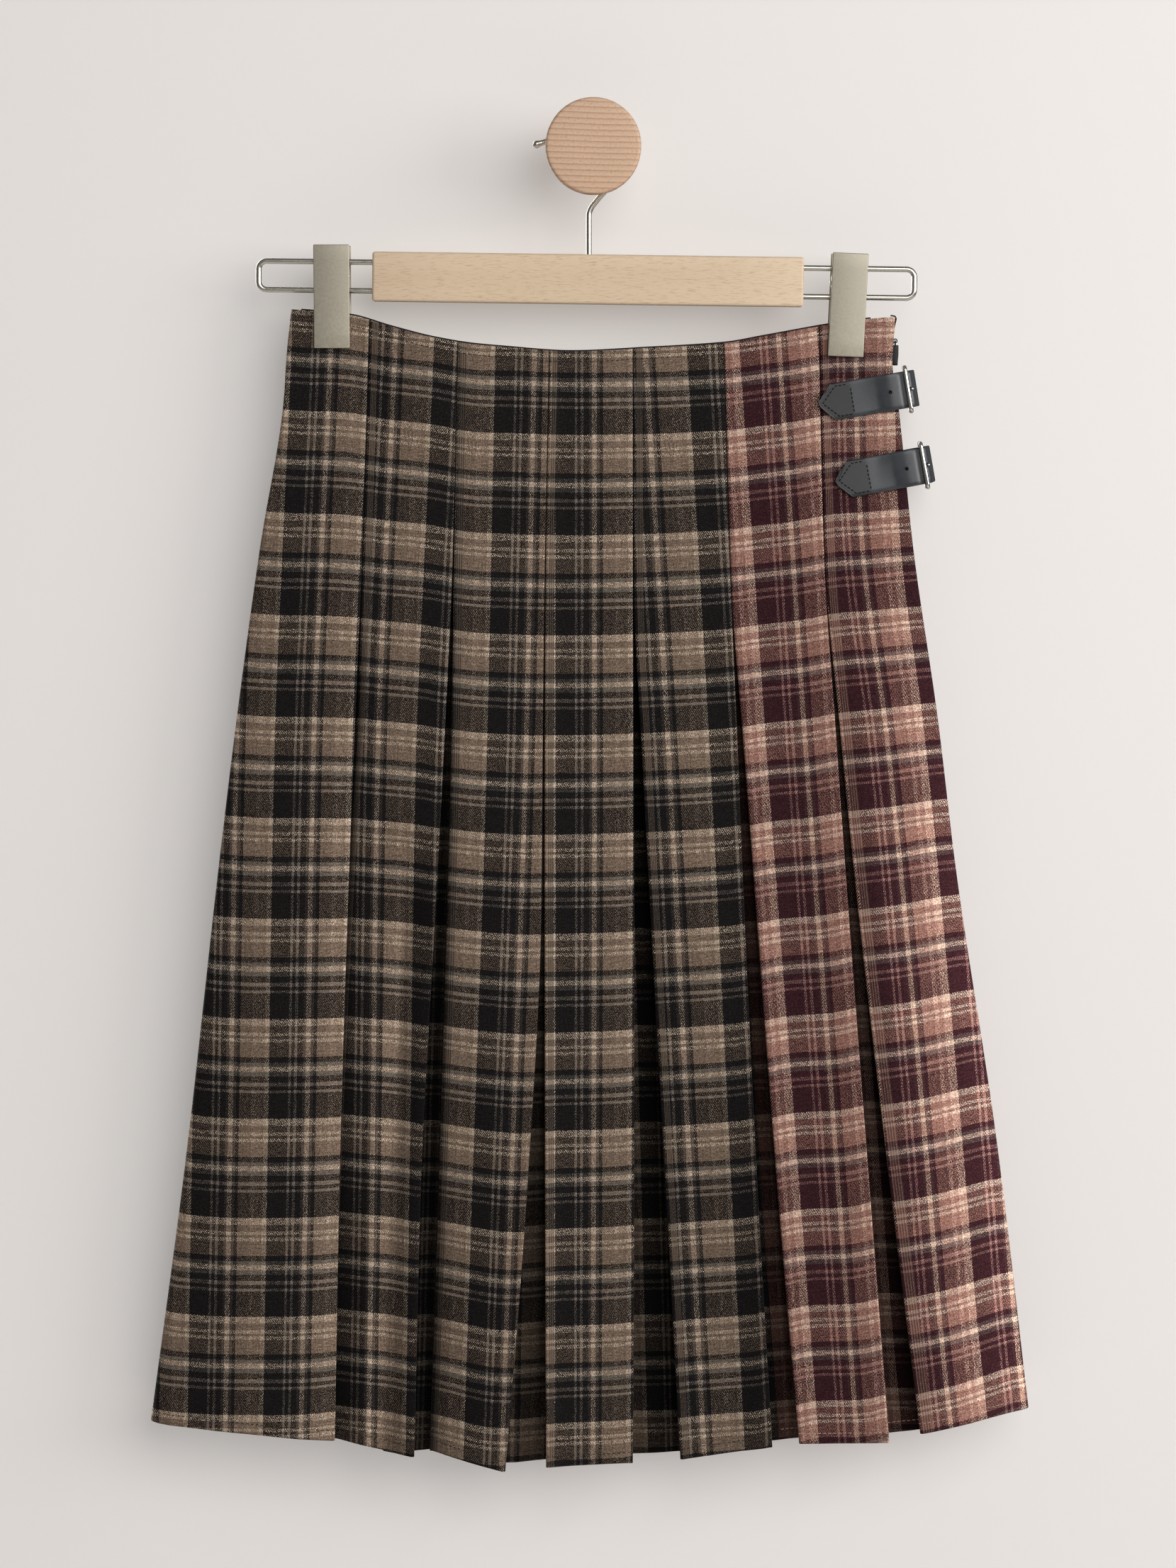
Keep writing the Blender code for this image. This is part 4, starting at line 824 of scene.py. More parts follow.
for face in ("front", "back"):
    points, check, light, split = skirt_half(face)
    for colour, finish, part in (
        ("black", black_check, slice(None, split)), ("burgundy", burgundy_check, slice(split, None))
    ):
        name = f"skirt_{face}_{colour}"
        grid, uv, lit = points[:, part], check[:, part], light[:, part]
        SHEETS[name] = grid
        if face == "back":
            grid, uv, lit = grid[:, ::-1], uv[:, ::-1], lit[:, ::-1]
        # The cloth's painted light and shade goes on as a point attribute.
        sheet = mesh_piece(f"{name}_cloth", grid, grid_faces(*grid.shape[:2]), finish, uv=uv, light_in_fold=lit)
        thick = sheet.modifiers.new("cloth thickness", "SOLIDIFY")
        thick.thickness, thick.offset = CLOTH * MM, 0.0
        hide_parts(name)
        width, length, area = flat_cut(SHEETS[name])
        SHEETS[name + "_cut"] = (width, length, area, sheet)
        print(f"{name}: {grid.shape[0]} x {grid.shape[1]} points, cut {width:.3f} x {length:.3f} m, area {area:.3f}")

# %% [markdown]
# ## Stitches
# The hem is turned up and stitched, and so is the waist. A stitch is a short thread that comes up, runs
# along the cloth and goes down again. All stitches of a line are made at once: the line is cut into even
# lengths, and each gets the same little six-sided tube, bowed off the cloth in its middle.

# %% Thread
def thread_finish(name, colour):
    """A twisted thread: darker and lighter along its length."""
    thread = Finish(name, colour, 0.7, Specular_IOR_Level=0.3)
    twist = thread.noise(thread.place((1, 1, 1)), 2600.0, 1.0)
    thread.colour(thread.ramp(twist, [(0.3, linear(np.array(colour) * 0.7)), (0.7, linear(colour))]))
    thread.bump(twist, 0.0001)
    return thread.material


dark_thread = thread_finish("dark_thread", (44, 38, 36))
pale_thread = thread_finish("pale_thread", (196, 170, 156))
leather_thread = thread_finish("leather_thread", (14, 14, 15))


def along_path(path, at):
    """Places at lengths along a path of points."""
    length = np.concatenate([[0], np.cumsum(np.linalg.norm(np.diff(path, axis=0), axis=1))])
    return np.stack([np.interp(at, length, path[:, i]) for i in range(path.shape[1])], axis=-1), length[-1]


def stitch_line(path, outward, pitch=3.2, share=0.72, radius=0.24, rise=0.2):
    """Skins of the stitches along a path: centre = line + outward * rise * sin(pi t), rings of six points."""
    both = np.concatenate([path, outward], axis=1)
    total = np.linalg.norm(np.diff(path, axis=0), axis=1).sum()
    starts = np.arange(pitch / 2, total - pitch, pitch)
    t = np.array([0.0, 0.12, 0.35, 0.65, 0.88, 1.0])
    at = starts[:, None] + t * pitch * share
    length = np.concatenate([[0], np.cumsum(np.linalg.norm(np.diff(path, axis=0), axis=1))])
    place = np.stack([np.interp(at, length, both[:, i]) for i in range(6)], axis=-1)
    centre, up = place[..., :3], unit(place[..., 3:])
    along = unit(centre[:, -1:] - centre[:, :1])
    aside = unit(np.cross(along, up))
    centre = centre + up * (rise * np.sin(pi * t) - 0.12)[:, None]
    turn = np.linspace(0, 2 * pi, 6, endpoint=False)
    size = radius * np.array([0.5, 0.9, 1.0, 1.0, 0.9, 0.5])[:, None, None]
    ring = aside[:, :, None] * np.cos(turn)[:, None] + up[:, :, None] * np.sin(turn)[:, None]
    rings = centre[:, :, None] + size * ring
    return [skin(stitch) for stitch in rings]


def on_sheet(grid, row, outside=1.0):
    """The outer face of the cloth along one row of its grid, and its outward direction there."""
    line = grid[row]
    across = np.gradient(line, axis=0)
    down = grid[min(row + 1, len(grid) - 1)] - grid[row - 1]
    out = unit(np.cross(down, across)) * outside
    return line + out * (CLOTH / 2 + 0.02), out


# %% Hem and waist stitches
STITCHED = {}
for name in ("skirt_front_black", "skirt_front_burgundy", "skirt_back_black", "skirt_back_burgundy"):
    side = 1.0 if "front" in name else -1.0
    finish = dark_thread if "black" in name else pale_thread
    rows = {"hem": len(SHARES) - 5, "waist": 4}
    for edge, row in rows.items():
        path, out = on_sheet(SHEETS[name], row, side)
        made = solid_piece(f"{name}_{edge}_stitches", finish, *stitch_line(path, out), sharp=80)
        STITCHED.setdefault(name, []).append(made)
    print(name, "stitches", [len(piece.data.polygons) // 32 for piece in STITCHED[name]])

for name in list(STITCHED):
    width, length, area, sheet = SHEETS[name + "_cut"]
    side = "left" if "black" in name else "right"

# %% [markdown]
# ## Waist facing
# Inside the waist is a plain black strip whose rolled edge shows as a thin dark line over the check. It is a
# rounded strip carried along the waist edge, a few millimetres inside the cloth.

# %% Facing
FACING_ENDS = (-181.0, 172.0)
FACING_HEIGHT = 28.0
FACING_PROUD = 1.0
FACING_BEHIND = 5.25

facing = Finish("black_facing_cloth", (24, 23, 24), 0.8, Sheen_Weight=0.1, Specular_IOR_Level=0.25)
weave = facing.noise(facing.place((1, 1, 1)), 1800.0, 2.0)
facing.colour(facing.ramp(weave, [(0.25, linear((16, 15, 16))), (0.75, linear((38, 36, 37)))]))
facing.bump(weave, 0.0002)


def rounded_strip(height, thickness, corners=5):
    """(out, along the height) round a strip with half-round edges, as pairs."""
    turn = np.linspace(-pi / 2, pi / 2, corners)
    r = thickness / 2
    top = np.stack([r * np.sin(turn), r * np.cos(turn) - r], axis=-1)
    sides = np.linspace(0.12, 0.88, 4)[:, None]
    right = np.concatenate([np.full((4, 1), r), -r - sides * (height - 2 * r)], axis=1)
    bottom = np.stack([r * np.sin(turn[::-1]), -height + r - r * np.cos(turn)], axis=-1)
    left = right[::-1] * (-1, 1)
    return np.concatenate([top, right, bottom, left])


for face in ("front", "back"):
    xs = np.linspace(*FACING_ENDS, 110)[:, None]
    section = rounded_strip(FACING_HEIGHT + FACING_PROUD, 1.0)
    z = waist_z(xs) + FACING_PROUD + section[:, 1]
    share = np.clip((waist_z(xs) - z) / (waist_z(xs) - hem_z(xs)), 0, 1)
    inside = np.maximum(0.8, stand_out(face, xs, share) - FACING_BEHIND) + section[:, 0]
    rings = np.stack([xs + 0 * z, seam_y(share) - INTO[face] * inside, z], axis=-1)
    strip = solid_piece(f"waist_facing_{face}_roll", facing.material, skin(rings), sharp=80)
    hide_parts(f"waist_facing_{face}")
    print(f"waist_facing_{face}, {FACING_HEIGHT:.0f} mm deep under the edge")

# %% [markdown]
# ## Beech and nickel
# The bar is sawn and sanded beech, whose short dark flecks run with the grain. The peg is turned from the
# same wood with its end up, so its growth rings show as curved lines. The wire and clips are plated: the
# plates are brushed to a satin finish and the buckles are polished.

# %% Hard finishes
beech = Finish("beech_bar", (214, 190, 160), 0.5, Specular_IOR_Level=0.35)
flecks = beech.noise(beech.place((150, 300, 1500), turn=(0, radians(2.5), 0)), 1.0, 3.0, 0.65)
bands = beech.noise(beech.place((3, 60, 46)), 1.0, 2.0)
pale = beech.mix(bands, linear((228, 207, 181)), linear((209, 185, 155)))
beech.colour(beech.mix(beech.ramp(flecks, [(0.52, 0.0), (0.7, 0.5)]), pale, linear((168, 130, 98))))
beech.roughness(beech.math("MULTIPLY_ADD", flecks, 0.2, 0.38))
beech.bump(flecks, 0.00012, 0.6)

rings_of_peg = Finish("beech_peg", (200, 168, 140), 0.5, Specular_IOR_Level=0.35)
spot = rings_of_peg.place((1, 1, 1))
bent = rings_of_peg.mix(0.012, spot, rings_of_peg.node("TexNoise", spot).outputs["Color"], "ADD")
far = rings_of_peg.node("Mapping", bent)
far.inputs["Location"].default_value = (0.01, 0.0, 0.16)
far.inputs["Scale"].default_value = (0.35, 0.12, 1.0)
radius_from = rings_of_peg.node("VectorMath", far.outputs[0], operation="LENGTH").outputs["Value"]
year = rings_of_peg.math("FRACT", rings_of_peg.math("MULTIPLY", radius_from, 290.0))
growth = rings_of_peg.ramp(year, [(0.0, linear((211, 182, 155))), (0.6, linear((203, 171, 144))),
                                  (0.86, linear((186, 142, 116))), (1.0, linear((210, 181, 154)))])
specks = rings_of_peg.noise(rings_of_peg.place((700, 90, 700)), 1.0, 3.0, 0.7)
speckled = rings_of_peg.ramp(specks, [(0.5, 0.0), (0.75, 0.55)])
rings_of_peg.colour(rings_of_peg.mix(speckled, growth, linear((150, 108, 80))))
rings_of_peg.bump(specks, 0.0001, 0.5)

satin = Finish("satin_nickel_plate", (168, 162, 146), 0.5, 0.6)
painted_light_and_brushing = satin.noise(satin.place((700, 700, 700)), 1.0, 2.0)
satin.roughness(satin.math("MULTIPLY_ADD", painted_light_and_brushing, 0.2, 0.38))
satin.colour(satin.mix(painted_light_and_brushing, linear((156, 150, 135)), linear((182, 176, 160))))
satin.bump(painted_light_and_brushing, 0.00002, 0.5)
drawn = Finish("nickel_wire", (204, 200, 190), 0.24, 1.0)
drawn.roughness(drawn.math("MULTIPLY_ADD", drawn.noise(drawn.place(), 240.0), 0.16, 0.17))
polished = Finish("bright_nickel_plate", (222, 220, 214), 0.14, 1.0)
polished.roughness(polished.math("MULTIPLY_ADD", polished.noise(polished.place(), 300.0), 0.12, 0.08))
print("finishes so far", [material.name for material in bpy.data.materials])


# %% [markdown]
# ## Hanger and peg
# The bar is a rounded block, bored for its wires. Wire is a round section carried along a path, and the peg
# is a profile turned about its own axis.

# %% Blocks and bores
def block(size, edge, corner=4, spans=(1, 1)):
    """Rings along X of a rounded rectangle; towards each end it shrinks as a quarter circle does."""
    length, width, height = size
    turn = np.linspace(0, pi / 2, corner)
    inset = edge * (1 - np.sin(turn)) * 0.98
    ends = length / 2 - edge * (1 - np.cos(turn))
    middle = np.linspace(-1, 1, spans[0] + 2)[1:-1] * (length / 2 - 1.5 * edge)
    xs = np.concatenate([-ends, middle, ends[::-1]])
    insets = np.concatenate([inset, 0 * middle, inset[::-1]])[:, None]
    quarter = np.concatenate([turn + i * pi / 2 for i in range(4)])
    sign_y = np.repeat([1, -1, -1, 1], corner)
    sign_z = np.repeat([1, 1, -1, -1], corner)
    r = edge - insets
    y = sign_y * (width / 2 - edge) + r * np.cos(quarter)
    z = sign_z * (height / 2 - edge) + r * np.sin(quarter)
    return np.stack([xs[:, None] + 0 * y, y, z], axis=-1)


def moved(rings, place=(0, 0, 0), turn_x=0.0, turn_y=0.0, upright=False):
    """Points turned about X, then about Y, and moved; upright first stands a block's length along Z."""
    x, y, z = np.moveaxis(rings, -1, 0)
    if upright:
        x, z = -z, x
    y, z = y * cos(turn_x) - z * sin(turn_x), y * sin(turn_x) + z * cos(turn_x)
    x, z = x * cos(turn_y) + z * sin(turn_y), -x * sin(turn_y) + z * cos(turn_y)
    return np.stack([x, y, z], axis=-1) + np.asarray(place, float)


def bored(made, bores):
    """Cut round holes: each bore is a start, an end and a radius."""
    cutters = []
    for start, end, radius in bores:
        up = (0, 1, 0) if abs(end[1] - start[1]) < 1 else (0, 0, 1)
        data = bpy.data.meshes.new("bore")
        points, faces = skin(tube(np.linspace(start, end, 2), radius, up, 20))
        data.from_pydata(points * MM, [], faces)
        cutter = bpy.data.objects.new("bore", data)
        bpy.context.scene.collection.objects.link(cutter)
        step = made.modifiers.new("bore", "BOOLEAN")
        step.operation, step.object, step.solver = "DIFFERENCE", cutter, "EXACT"
        cutters.append(cutter)
    bpy.context.view_layer.update()
    cut = bpy.data.meshes.new_from_object(made.evaluated_get(bpy.context.evaluated_depsgraph_get()))
    made.modifiers.clear()
    made.data = cut
    for cutter in cutters:
        bpy.data.objects.remove(cutter, do_unlink=True)
    return made


# %% Bar
BAR = (267.0, 13.0, 30.5)
BAR_MIDDLE = (-3.3, -80.5)
TILT = radians(0.75)
WIRE, WIRE_SPACING, WIRE_BEND, WIRE_IN_BAR = 1.75, 17.6, 5.0, 12.0
WIRE_ENDS = {"left": -207.4, "right": 199.1}
HOOK_WIRE, HOOK_ARC, HOOK_CENTRE, HOOK_STEM = 1.7, 20.2, (-0.8, -6.0), -2.7
BORE_PLAY = 0.35


def hanger_point(x, z):
    """A point of the level hanger, turned with it about the bar's middle."""
    dx, dz = x - BAR_MIDDLE[0], z - BAR_MIDDLE[1]
    return (BAR_MIDDLE[0] + dx * cos(TILT) + dz * sin(TILT), HANG_Y,
            BAR_MIDDLE[1] - dx * sin(TILT) + dz * cos(TILT))


bar_skin = skin(moved(block(BAR, 1.7, 5, (5, 1)), (BAR_MIDDLE[0], HANG_Y, BAR_MIDDLE[1]), turn_y=TILT))
bar = solid_piece("hanger_bar_sanded", beech.material, bar_skin)
bores = [((HOOK_STEM, HANG_Y, -79.0), (HOOK_STEM, HANG_Y, -60.0), HOOK_WIRE + BORE_PLAY)]
for side in (-1, 1):
    for level in (-0.5, 0.5):
        deep, out = [BAR_MIDDLE[0] + side * (BAR[0] / 2 + reach) for reach in (-13.0, 3.0)]
        height = BAR_MIDDLE[1] + level * WIRE_SPACING
        bores.append((hanger_point(deep, height), hanger_point(out, height), WIRE + BORE_PLAY))
bored(bar, bores).data.set_sharp_from_angle(angle=radians(38))
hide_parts("hanger_bar")
print(f"bar {BAR[0]:.0f} mm long with {len(bores)} bores")

# %% [markdown]
# The hook is one bent wire: a straight stem out of the bar, half a circle over the peg's neck, and a tip. A
# smooth curve through its knots gives the path, and `swell` makes the wire thicker where the tip was pressed.

# %% Hook
bar_top = BAR_MIDDLE[1] + BAR[2] / 2
arc = np.radians(np.linspace(-52, 124, 60))
stem = np.array([(HOOK_STEM, bar_top - WIRE_IN_BAR), (HOOK_STEM, bar_top + 8), (HOOK_STEM, -46.0),
                 (HOOK_STEM, -41.0), (-1.6, -37.2), (1.6, -32.8), (5.3, -28.4)])
tail = np.array([(-20.0, 7.5), (-28.7, 4.3), (-33.0, 2.8), (-34.2, 2.5), (-35.4, 2.1), (-36.6, 1.7), (-37.1, 1.5)])
bend = np.stack([HOOK_CENTRE[0] + HOOK_ARC * np.cos(arc), HOOK_CENTRE[1] + HOOK_ARC * np.sin(arc)], axis=-1)
knots = np.concatenate([stem, bend, tail])
length = np.concatenate([[0], np.cumsum(np.linalg.norm(np.diff(knots, axis=0), axis=1))])
swell = np.ones(len(knots))
swell[-6:] = (1.0, 1.08, 1.32, 1.42, 1.2, 0.4)
at = np.concatenate([np.linspace(0, length[-7], 170), np.linspace(length[-7], length[-1], 16)[1:]])
hook_x, hook_z = [smooth_curve(length, knots[:, i], at) for i in (0, 1)]
hook_path = np.stack([hook_x, HANG_Y + 0 * at, hook_z], -1)
hook_rings = tube(hook_path, HOOK_WIRE * smooth_curve(length, swell, at), (0, 1, 0), 20)
hook = solid_piece("hanger_hook_wire", drawn.material, skin(hook_rings), sharp=80)
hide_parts("hanger_hook")
print(f"hook wire {length[-1]:.0f} mm long")

# %% [markdown]
# Out of each end of the bar stands a loop that a clip slides on. Its upper half, a leg and a rounded corner,
# is worked out once and mirrored for the lower half.

# %% Wire loops
for side, outer in WIRE_ENDS.items():
    sign = -1 if side == "left" else 1
    inner = BAR_MIDDLE[0] + sign * (BAR[0] / 2 - WIRE_IN_BAR)
    half, corner_x = WIRE_SPACING / 2, outer - sign * WIRE_BEND
    turn = np.linspace(pi / 2, 0, 12)
    bend_x, bend_z = corner_x + sign * WIRE_BEND * np.cos(turn), half - WIRE_BEND + WIRE_BEND * np.sin(turn)
    quarter = np.stack([bend_x, bend_z], -1)
    leg = np.stack([np.linspace(inner, corner_x, 12)[:-1], np.full(11, half)], -1)
    upper = np.concatenate([leg, quarter])
    outline = np.concatenate([upper, upper[::-1] * (1, -1)])
    points = np.stack(hanger_point(outline[:, 0], BAR_MIDDLE[1] + outline[:, 1])[::2], -1)
    points = np.insert(points, 1, HANG_Y, axis=1)
    loop = solid_piece(f"wire_loop_{side}_bent", drawn.material, skin(tube(points, WIRE, (0, 1, 0), 18)), sharp=80)
    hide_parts(f"wire_loop_{side}")
    print(f"wire_loop_{side} reaches x = {outer:.1f} mm")

# %% [markdown]
# The peg is turned in one piece: a disc with a rounded rim on a neck, its profile carried once round.

# %% Peg
PEG_PROFILE = np.array([  # radius, distance from the wall
    (0.4, 56.0), (14.0, 56.0), (27.2, 56.0), (28.2, 55.85), (28.9, 55.4), (29.3, 54.7), (29.4, 54.0), (29.4, 44.0),
    (29.3, 43.2), (28.9, 42.6), (28.2, 42.15), (27.2, 42.0), (12.6, 42.0), (12.0, 41.4), (12.0, 20.0), (12.0, 0.0)])
turn = np.linspace(0, 2 * pi, 128, endpoint=False)
radius, depth = PEG_PROFILE[:, :1], PEG_PROFILE[:, 1:]
rings = np.stack([radius * np.cos(turn), -depth + 0 * turn, radius * np.sin(turn)], -1)
peg = solid_piece("wall_peg_turned", rings_of_peg.material, skin(rings))
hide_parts("wall_peg")
print(f"peg {2 * PEG_PROFILE[:, 0].max():.1f} mm across")

# %% [markdown]
# ## Clips
# Each clip is two pressed plates that a wire coil holds together at the waist. Cheeks folded from the plates'
# sides carry the pin. The plates are blocks with rounded edges, leaning as the clip does, and the coil is a
# wire along a helix: a circle whose height grows evenly with its angle.

# %% Clips
CLIP = (22.2, 1.4, 63.6)
CLIP_INNER = (7.7, 6.7)
CLIPS = {"left": (-161.8, -91.2, 0.0), "right": (157.6, -96.4, 2.5)}


def coil_spring(middle, length, radius, wire, turns):
    """Helix along X: x grows evenly, y = r cos, z = r sin; its two ends lie out along the plates."""
    t = np.linspace(0, 1, turns * 20)
    angle = 2 * pi * turns * t
    x = (t - 0.5) * (length - wire * 2)
    path = np.stack([x, -radius * np.cos(angle), radius * np.sin(angle)], axis=-1) + middle
    down = np.linspace(0, 1, 6)[1:, None]
    first_leg = path[0] + down[::-1] * (-0.3, -1.6, -14.0)
    last_leg = path[-1] + down * (0.3, 1.6, -14.0)
    path = np.concatenate([first_leg, path, last_leg])
    return tube(path, wire, (1, 0.02, 0.013), 8)


for side, (x, z, lean) in CLIPS.items():
    pin_x, _, pin_z = hanger_point(x, BAR_MIDDLE[1])
    slope = (CLIP_INNER[0] - CLIP_INNER[1]) / CLIP[2]
    middle_out = (CLIP_INNER[0] + CLIP_INNER[1]) / 2 + CLIP[1] / 2
    for jaw, outwards_y, cheek_x in (("front", -1, 9.4), ("back", 1, 7.6)):
        plate = block((CLIP[2], CLIP[1], CLIP[0]), 0.66, 5, (6, 1))
        plate = moved(plate, (x, HANG_Y + outwards_y * middle_out, z), -outwards_y * slope, radians(lean),
                      upright=True)
        shells = [skin(plate)]
        reach = middle_out + 3.0
        for cheek_side in (-1, 1):
            profile = np.array([
                (-3.0, 2.2), (-2.2, 3.2), (-0.8, 3.8), (1.0, 3.8), (reach - 3.2, 6.6), (reach - 3.0, 7.0),
                (reach - 3.0, -7.0), (reach - 3.2, -6.6), (1.0, -3.8), (-0.8, -3.8), (-2.2, -3.2), (-3.0, -2.2)])
            offsets = np.array([-0.7, -0.62, 0.62, 0.7])[:, None]
            shrink = np.array([0.965, 1.0, 1.0, 0.965])[:, None]
            cheek = np.stack([pin_x + cheek_side * cheek_x + offsets + 0 * profile[:, 0],
                              HANG_Y + outwards_y * profile[:, 0] * (0 * shrink + 1),
                              pin_z + shrink * profile[:, 1]], axis=-1)
            shells.append(skin(cheek))
        made = solid_piece(f"clip_{side}_{jaw}_plate", satin.material, *shells, sharp=50)
        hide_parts(f"clip_{side}_{jaw}")
    pin_xs = np.array([-10.9, -10.75, -10.3, 10.3, 10.75, 10.9]) + pin_x
    pin_line = np.stack([pin_xs, np.full(6, HANG_Y), np.full(6, pin_z)], -1)
    pin = tube(pin_line, np.array([0.9, 1.2, 1.3, 1.3, 1.2, 0.9]), (0, 1, 0), 20)
    coil = coil_spring(np.array([pin_x, HANG_Y, pin_z]), length=12.4, radius=2.85, wire=0.55, turns=10)
    spring = solid_piece(f"clip_{side}_spring_coil", drawn.material, skin(pin), skin(coil), sharp=80)
    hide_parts(f"clip_{side}_spring")
    print(f"clip {side}: plates of {CLIP[0]:.0f} x {CLIP[2]:.0f} mm, its pin at x = {pin_x:.1f} mm")

# %% [markdown]
# ## Straps and buckles
# A strap is sewn to the front, runs under the buckle's front bar and round the side, and its free end lies
# behind. The buckle hangs on a short folded strap sewn to the back. The strap is one path in its own frame:
# s along it, w across it and y towards the wall. Its section is a flat strip with rounded edges, carried
# along the path, and the pointed ends come from starting each line across it a little later. The sewn end is
# pressed flat, and an attribute makes the leather duller and darker there: the duller finish is real, the
# darker colour is painted shade for the flat end, which catches less light.

# %% Leather
leather = Finish("black_leather_smooth", (46, 48, 51), 0.42, Specular_IOR_Level=0.45, Coat_Weight=0.12,
                 Coat_Roughness=0.3)
pores = leather.node("TexVoronoi", leather.place(), feature="DISTANCE_TO_EDGE")
pores.inputs["Scale"].default_value = 1500.0
creased = leather.noise(leather.place((160, 400, 160)), 1.0, 3.0)
# Painted shade: the sewn flat end gets a darker colour. Its duller roughness is the leather's own.
pressed = leather.node("Attribute", attribute_name="pressed_and_shaded").outputs["Fac"]
smooth = leather.mix(creased, linear((40, 43, 47)), linear((60, 63, 68)))
pressed_shaded = leather.mix(creased, linear((18, 20, 23)), linear((40, 42, 46)))
leather.colour(leather.mix(pressed, smooth, pressed_shaded))
leather.roughness(leather.math("MULTIPLY_ADD", creased, 0.2, leather.math("MULTIPLY_ADD", pressed, 0.16, 0.2)))
shallow_pores = leather.math("MINIMUM", pores.outputs[0], 0.12)
leather.bump(leather.math("ADD", shallow_pores, leather.math("MULTIPLY", creased, 0.4)), 0.0004, 0.35)


# %% Where the straps lie
STRAP_WIDTH, LEATHER = 22.8, 1.8
STRAP_TIP, SEWN_TO, LIFTS_AT, STRAP_POINT = -56.0, -35.0, -28.0, 11.0
STRAP_HOLE, STRAP_HOLE_RADIUS = -11.2, 1.2
BUCKLE_HEIGHT, BUCKLE_WIRE, PRONG_WIRE = 30.0, 1.3, 0.8
STRAPS = {"upper": (194.9, -148.3, 9.6), "lower": (205.2, -195.3, 10.4)}
ON_CLOTH = CLOTH / 2 + 0.6 + LEATHER / 2
WRAP_PLAY = 0.45
ACROSS = np.array([-1.0, 0.0, 1.0])


def share_at(x, z):
    """Share of the way from the waist edge (0) to the hem (1)."""
    return np.clip((waist_z(x) - z) / (waist_z(x) - hem_z(x)), 0, 1)


def outer_y(face, x, z, out):
    """y of a thing that lies this far outside the middle of the cloth."""
    share = share_at(x, z)
    return seam_y(share) - INTO[face] * (stand_out(face, x, share) + out)


class StrapFrame:
    """A strap's own frame: s runs along it and rises to the right, w across it, y is the skirt's y."""

    def __init__(self, x, z, rise):
        self.x, self.z, self.rise = x, z, radians(rise)
        self.front = self.on_cloth("front", LIFTS_AT, ON_CLOTH)[1]
        self.chape = self.on_cloth("back", LIFTS_AT, ON_CLOTH)[1]
        self.back = self.chape + LEATHER + WRAP_PLAY
        self.under_bar = self.front + 0.9
        self.front_bar = (0.0, self.under_bar - LEATHER / 2 - GAP - BUCKLE_WIRE)
        self.pivot = (0.9, self.chape - BUCKLE_WIRE - WRAP_PLAY - LEATHER / 2)

    def point(self, s, y, w=0.0):
        """x = x0 + s cos - w sin, z = z0 + s sin + w cos."""
        x = self.x + s * cos(self.rise) - w * sin(self.rise)
        z = self.z + s * sin(self.rise) + w * cos(self.rise)
        return np.stack(np.broadcast_arrays(x, y, z), axis=-1)

    def on_cloth(self, face, s, out):
        """y on the cloth at the strap's lower edge, middle and upper edge."""
        x, _, z = np.moveaxis(self.point(s, 0.0, ACROSS * STRAP_WIDTH / 2), -1, 0)
        return outer_y(face, x, z, out)

    def round_pivot(self, radius, turns):
        """Places (s, y) on a circle about the buckle's rear bar."""
        s, y = self.pivot
        return [(s + radius * cos(radians(turn)), y + radius * sin(radians(turn))) for turn in turns]

    def across(self):
        """The direction straight across the strap."""
        return self.point(0, 0, 1) - self.point(0, 0, 0)


# %% A leather strip
def leather_strip(frame, path, pointed_end):
    """A strip along a path of (s, y at its lower edge, middle and upper edge), pointed at its start.

    For a place a across it, from -1 to 1, the strip starts at point * (sqrt(a^2 + 0.03) - sqrt(0.03)).
    """
    runs = np.array([s for s, _ in path])
    levels = np.array([y * np.ones(3) for _, y in path])
    length = np.concatenate([[0], np.cumsum(np.hypot(np.diff(runs), np.diff(levels[:, 1])))])
    t = np.linspace(0, 1, 150)[:, None]
    half, r = STRAP_WIDTH / 2, LEATHER / 2
    flat = np.linspace(-1, 1, 11) * (half - 0.7)
    w = np.concatenate([[-half, -half + 0.2], flat, [half - 0.2, half, half, half - 0.2], flat[::-1],
                        [-half + 0.2, -half]])
    o = np.concatenate([[0.25, 0.62], np.full(11, 0.9), [0.62, 0.25, -0.25, -0.62], np.full(11, -0.9),
                        [-0.62, -0.25]])
    a = w / half
    start = STRAP_POINT * (np.sqrt(a**2 + 0.03) - np.sqrt(0.03))
    end = start if pointed_end else 0 * start
    along = start + t * (length[-1] - start - end)
    s = smooth_curve(length, runs, along)
    y_low, y_mid, y_top = [smooth_curve(length, levels[:, i], along) for i in range(3)]
    y = y_mid + a * (y_top - y_low) / 2 + a**2 * ((y_top + y_low) / 2 - y_mid)
    ds, dy = np.gradient(s, axis=0), np.gradient(y, axis=0)
    scale = np.maximum(np.hypot(ds, dy), 1e-6)
    return frame.point(s - o * dy / scale, y + o * ds / scale, w + 0 * y)


# %% [markdown]
# A strap lies on the cloth where it is sewn and lifts off before the buckle. It dips under the front bar,
# turns round the rear bar and lies back over the folded strap, and it is bored for the prong and with one
# spare hole. The folded strap, or chape, is shorter: it goes once round the rear bar and has a slot there.

# %% Straps and chapes
def prong_line(frame):
    """Where a prong's straight part starts and ends, as (s, y)."""
    wrap = BUCKLE_WIRE + WRAP_PLAY + PRONG_WIRE
    start = (frame.pivot[0] - wrap, frame.pivot[1])
    return start, (BUCKLE_WIRE + PRONG_WIRE + 0.8, frame.front_bar[1] - 1.4)


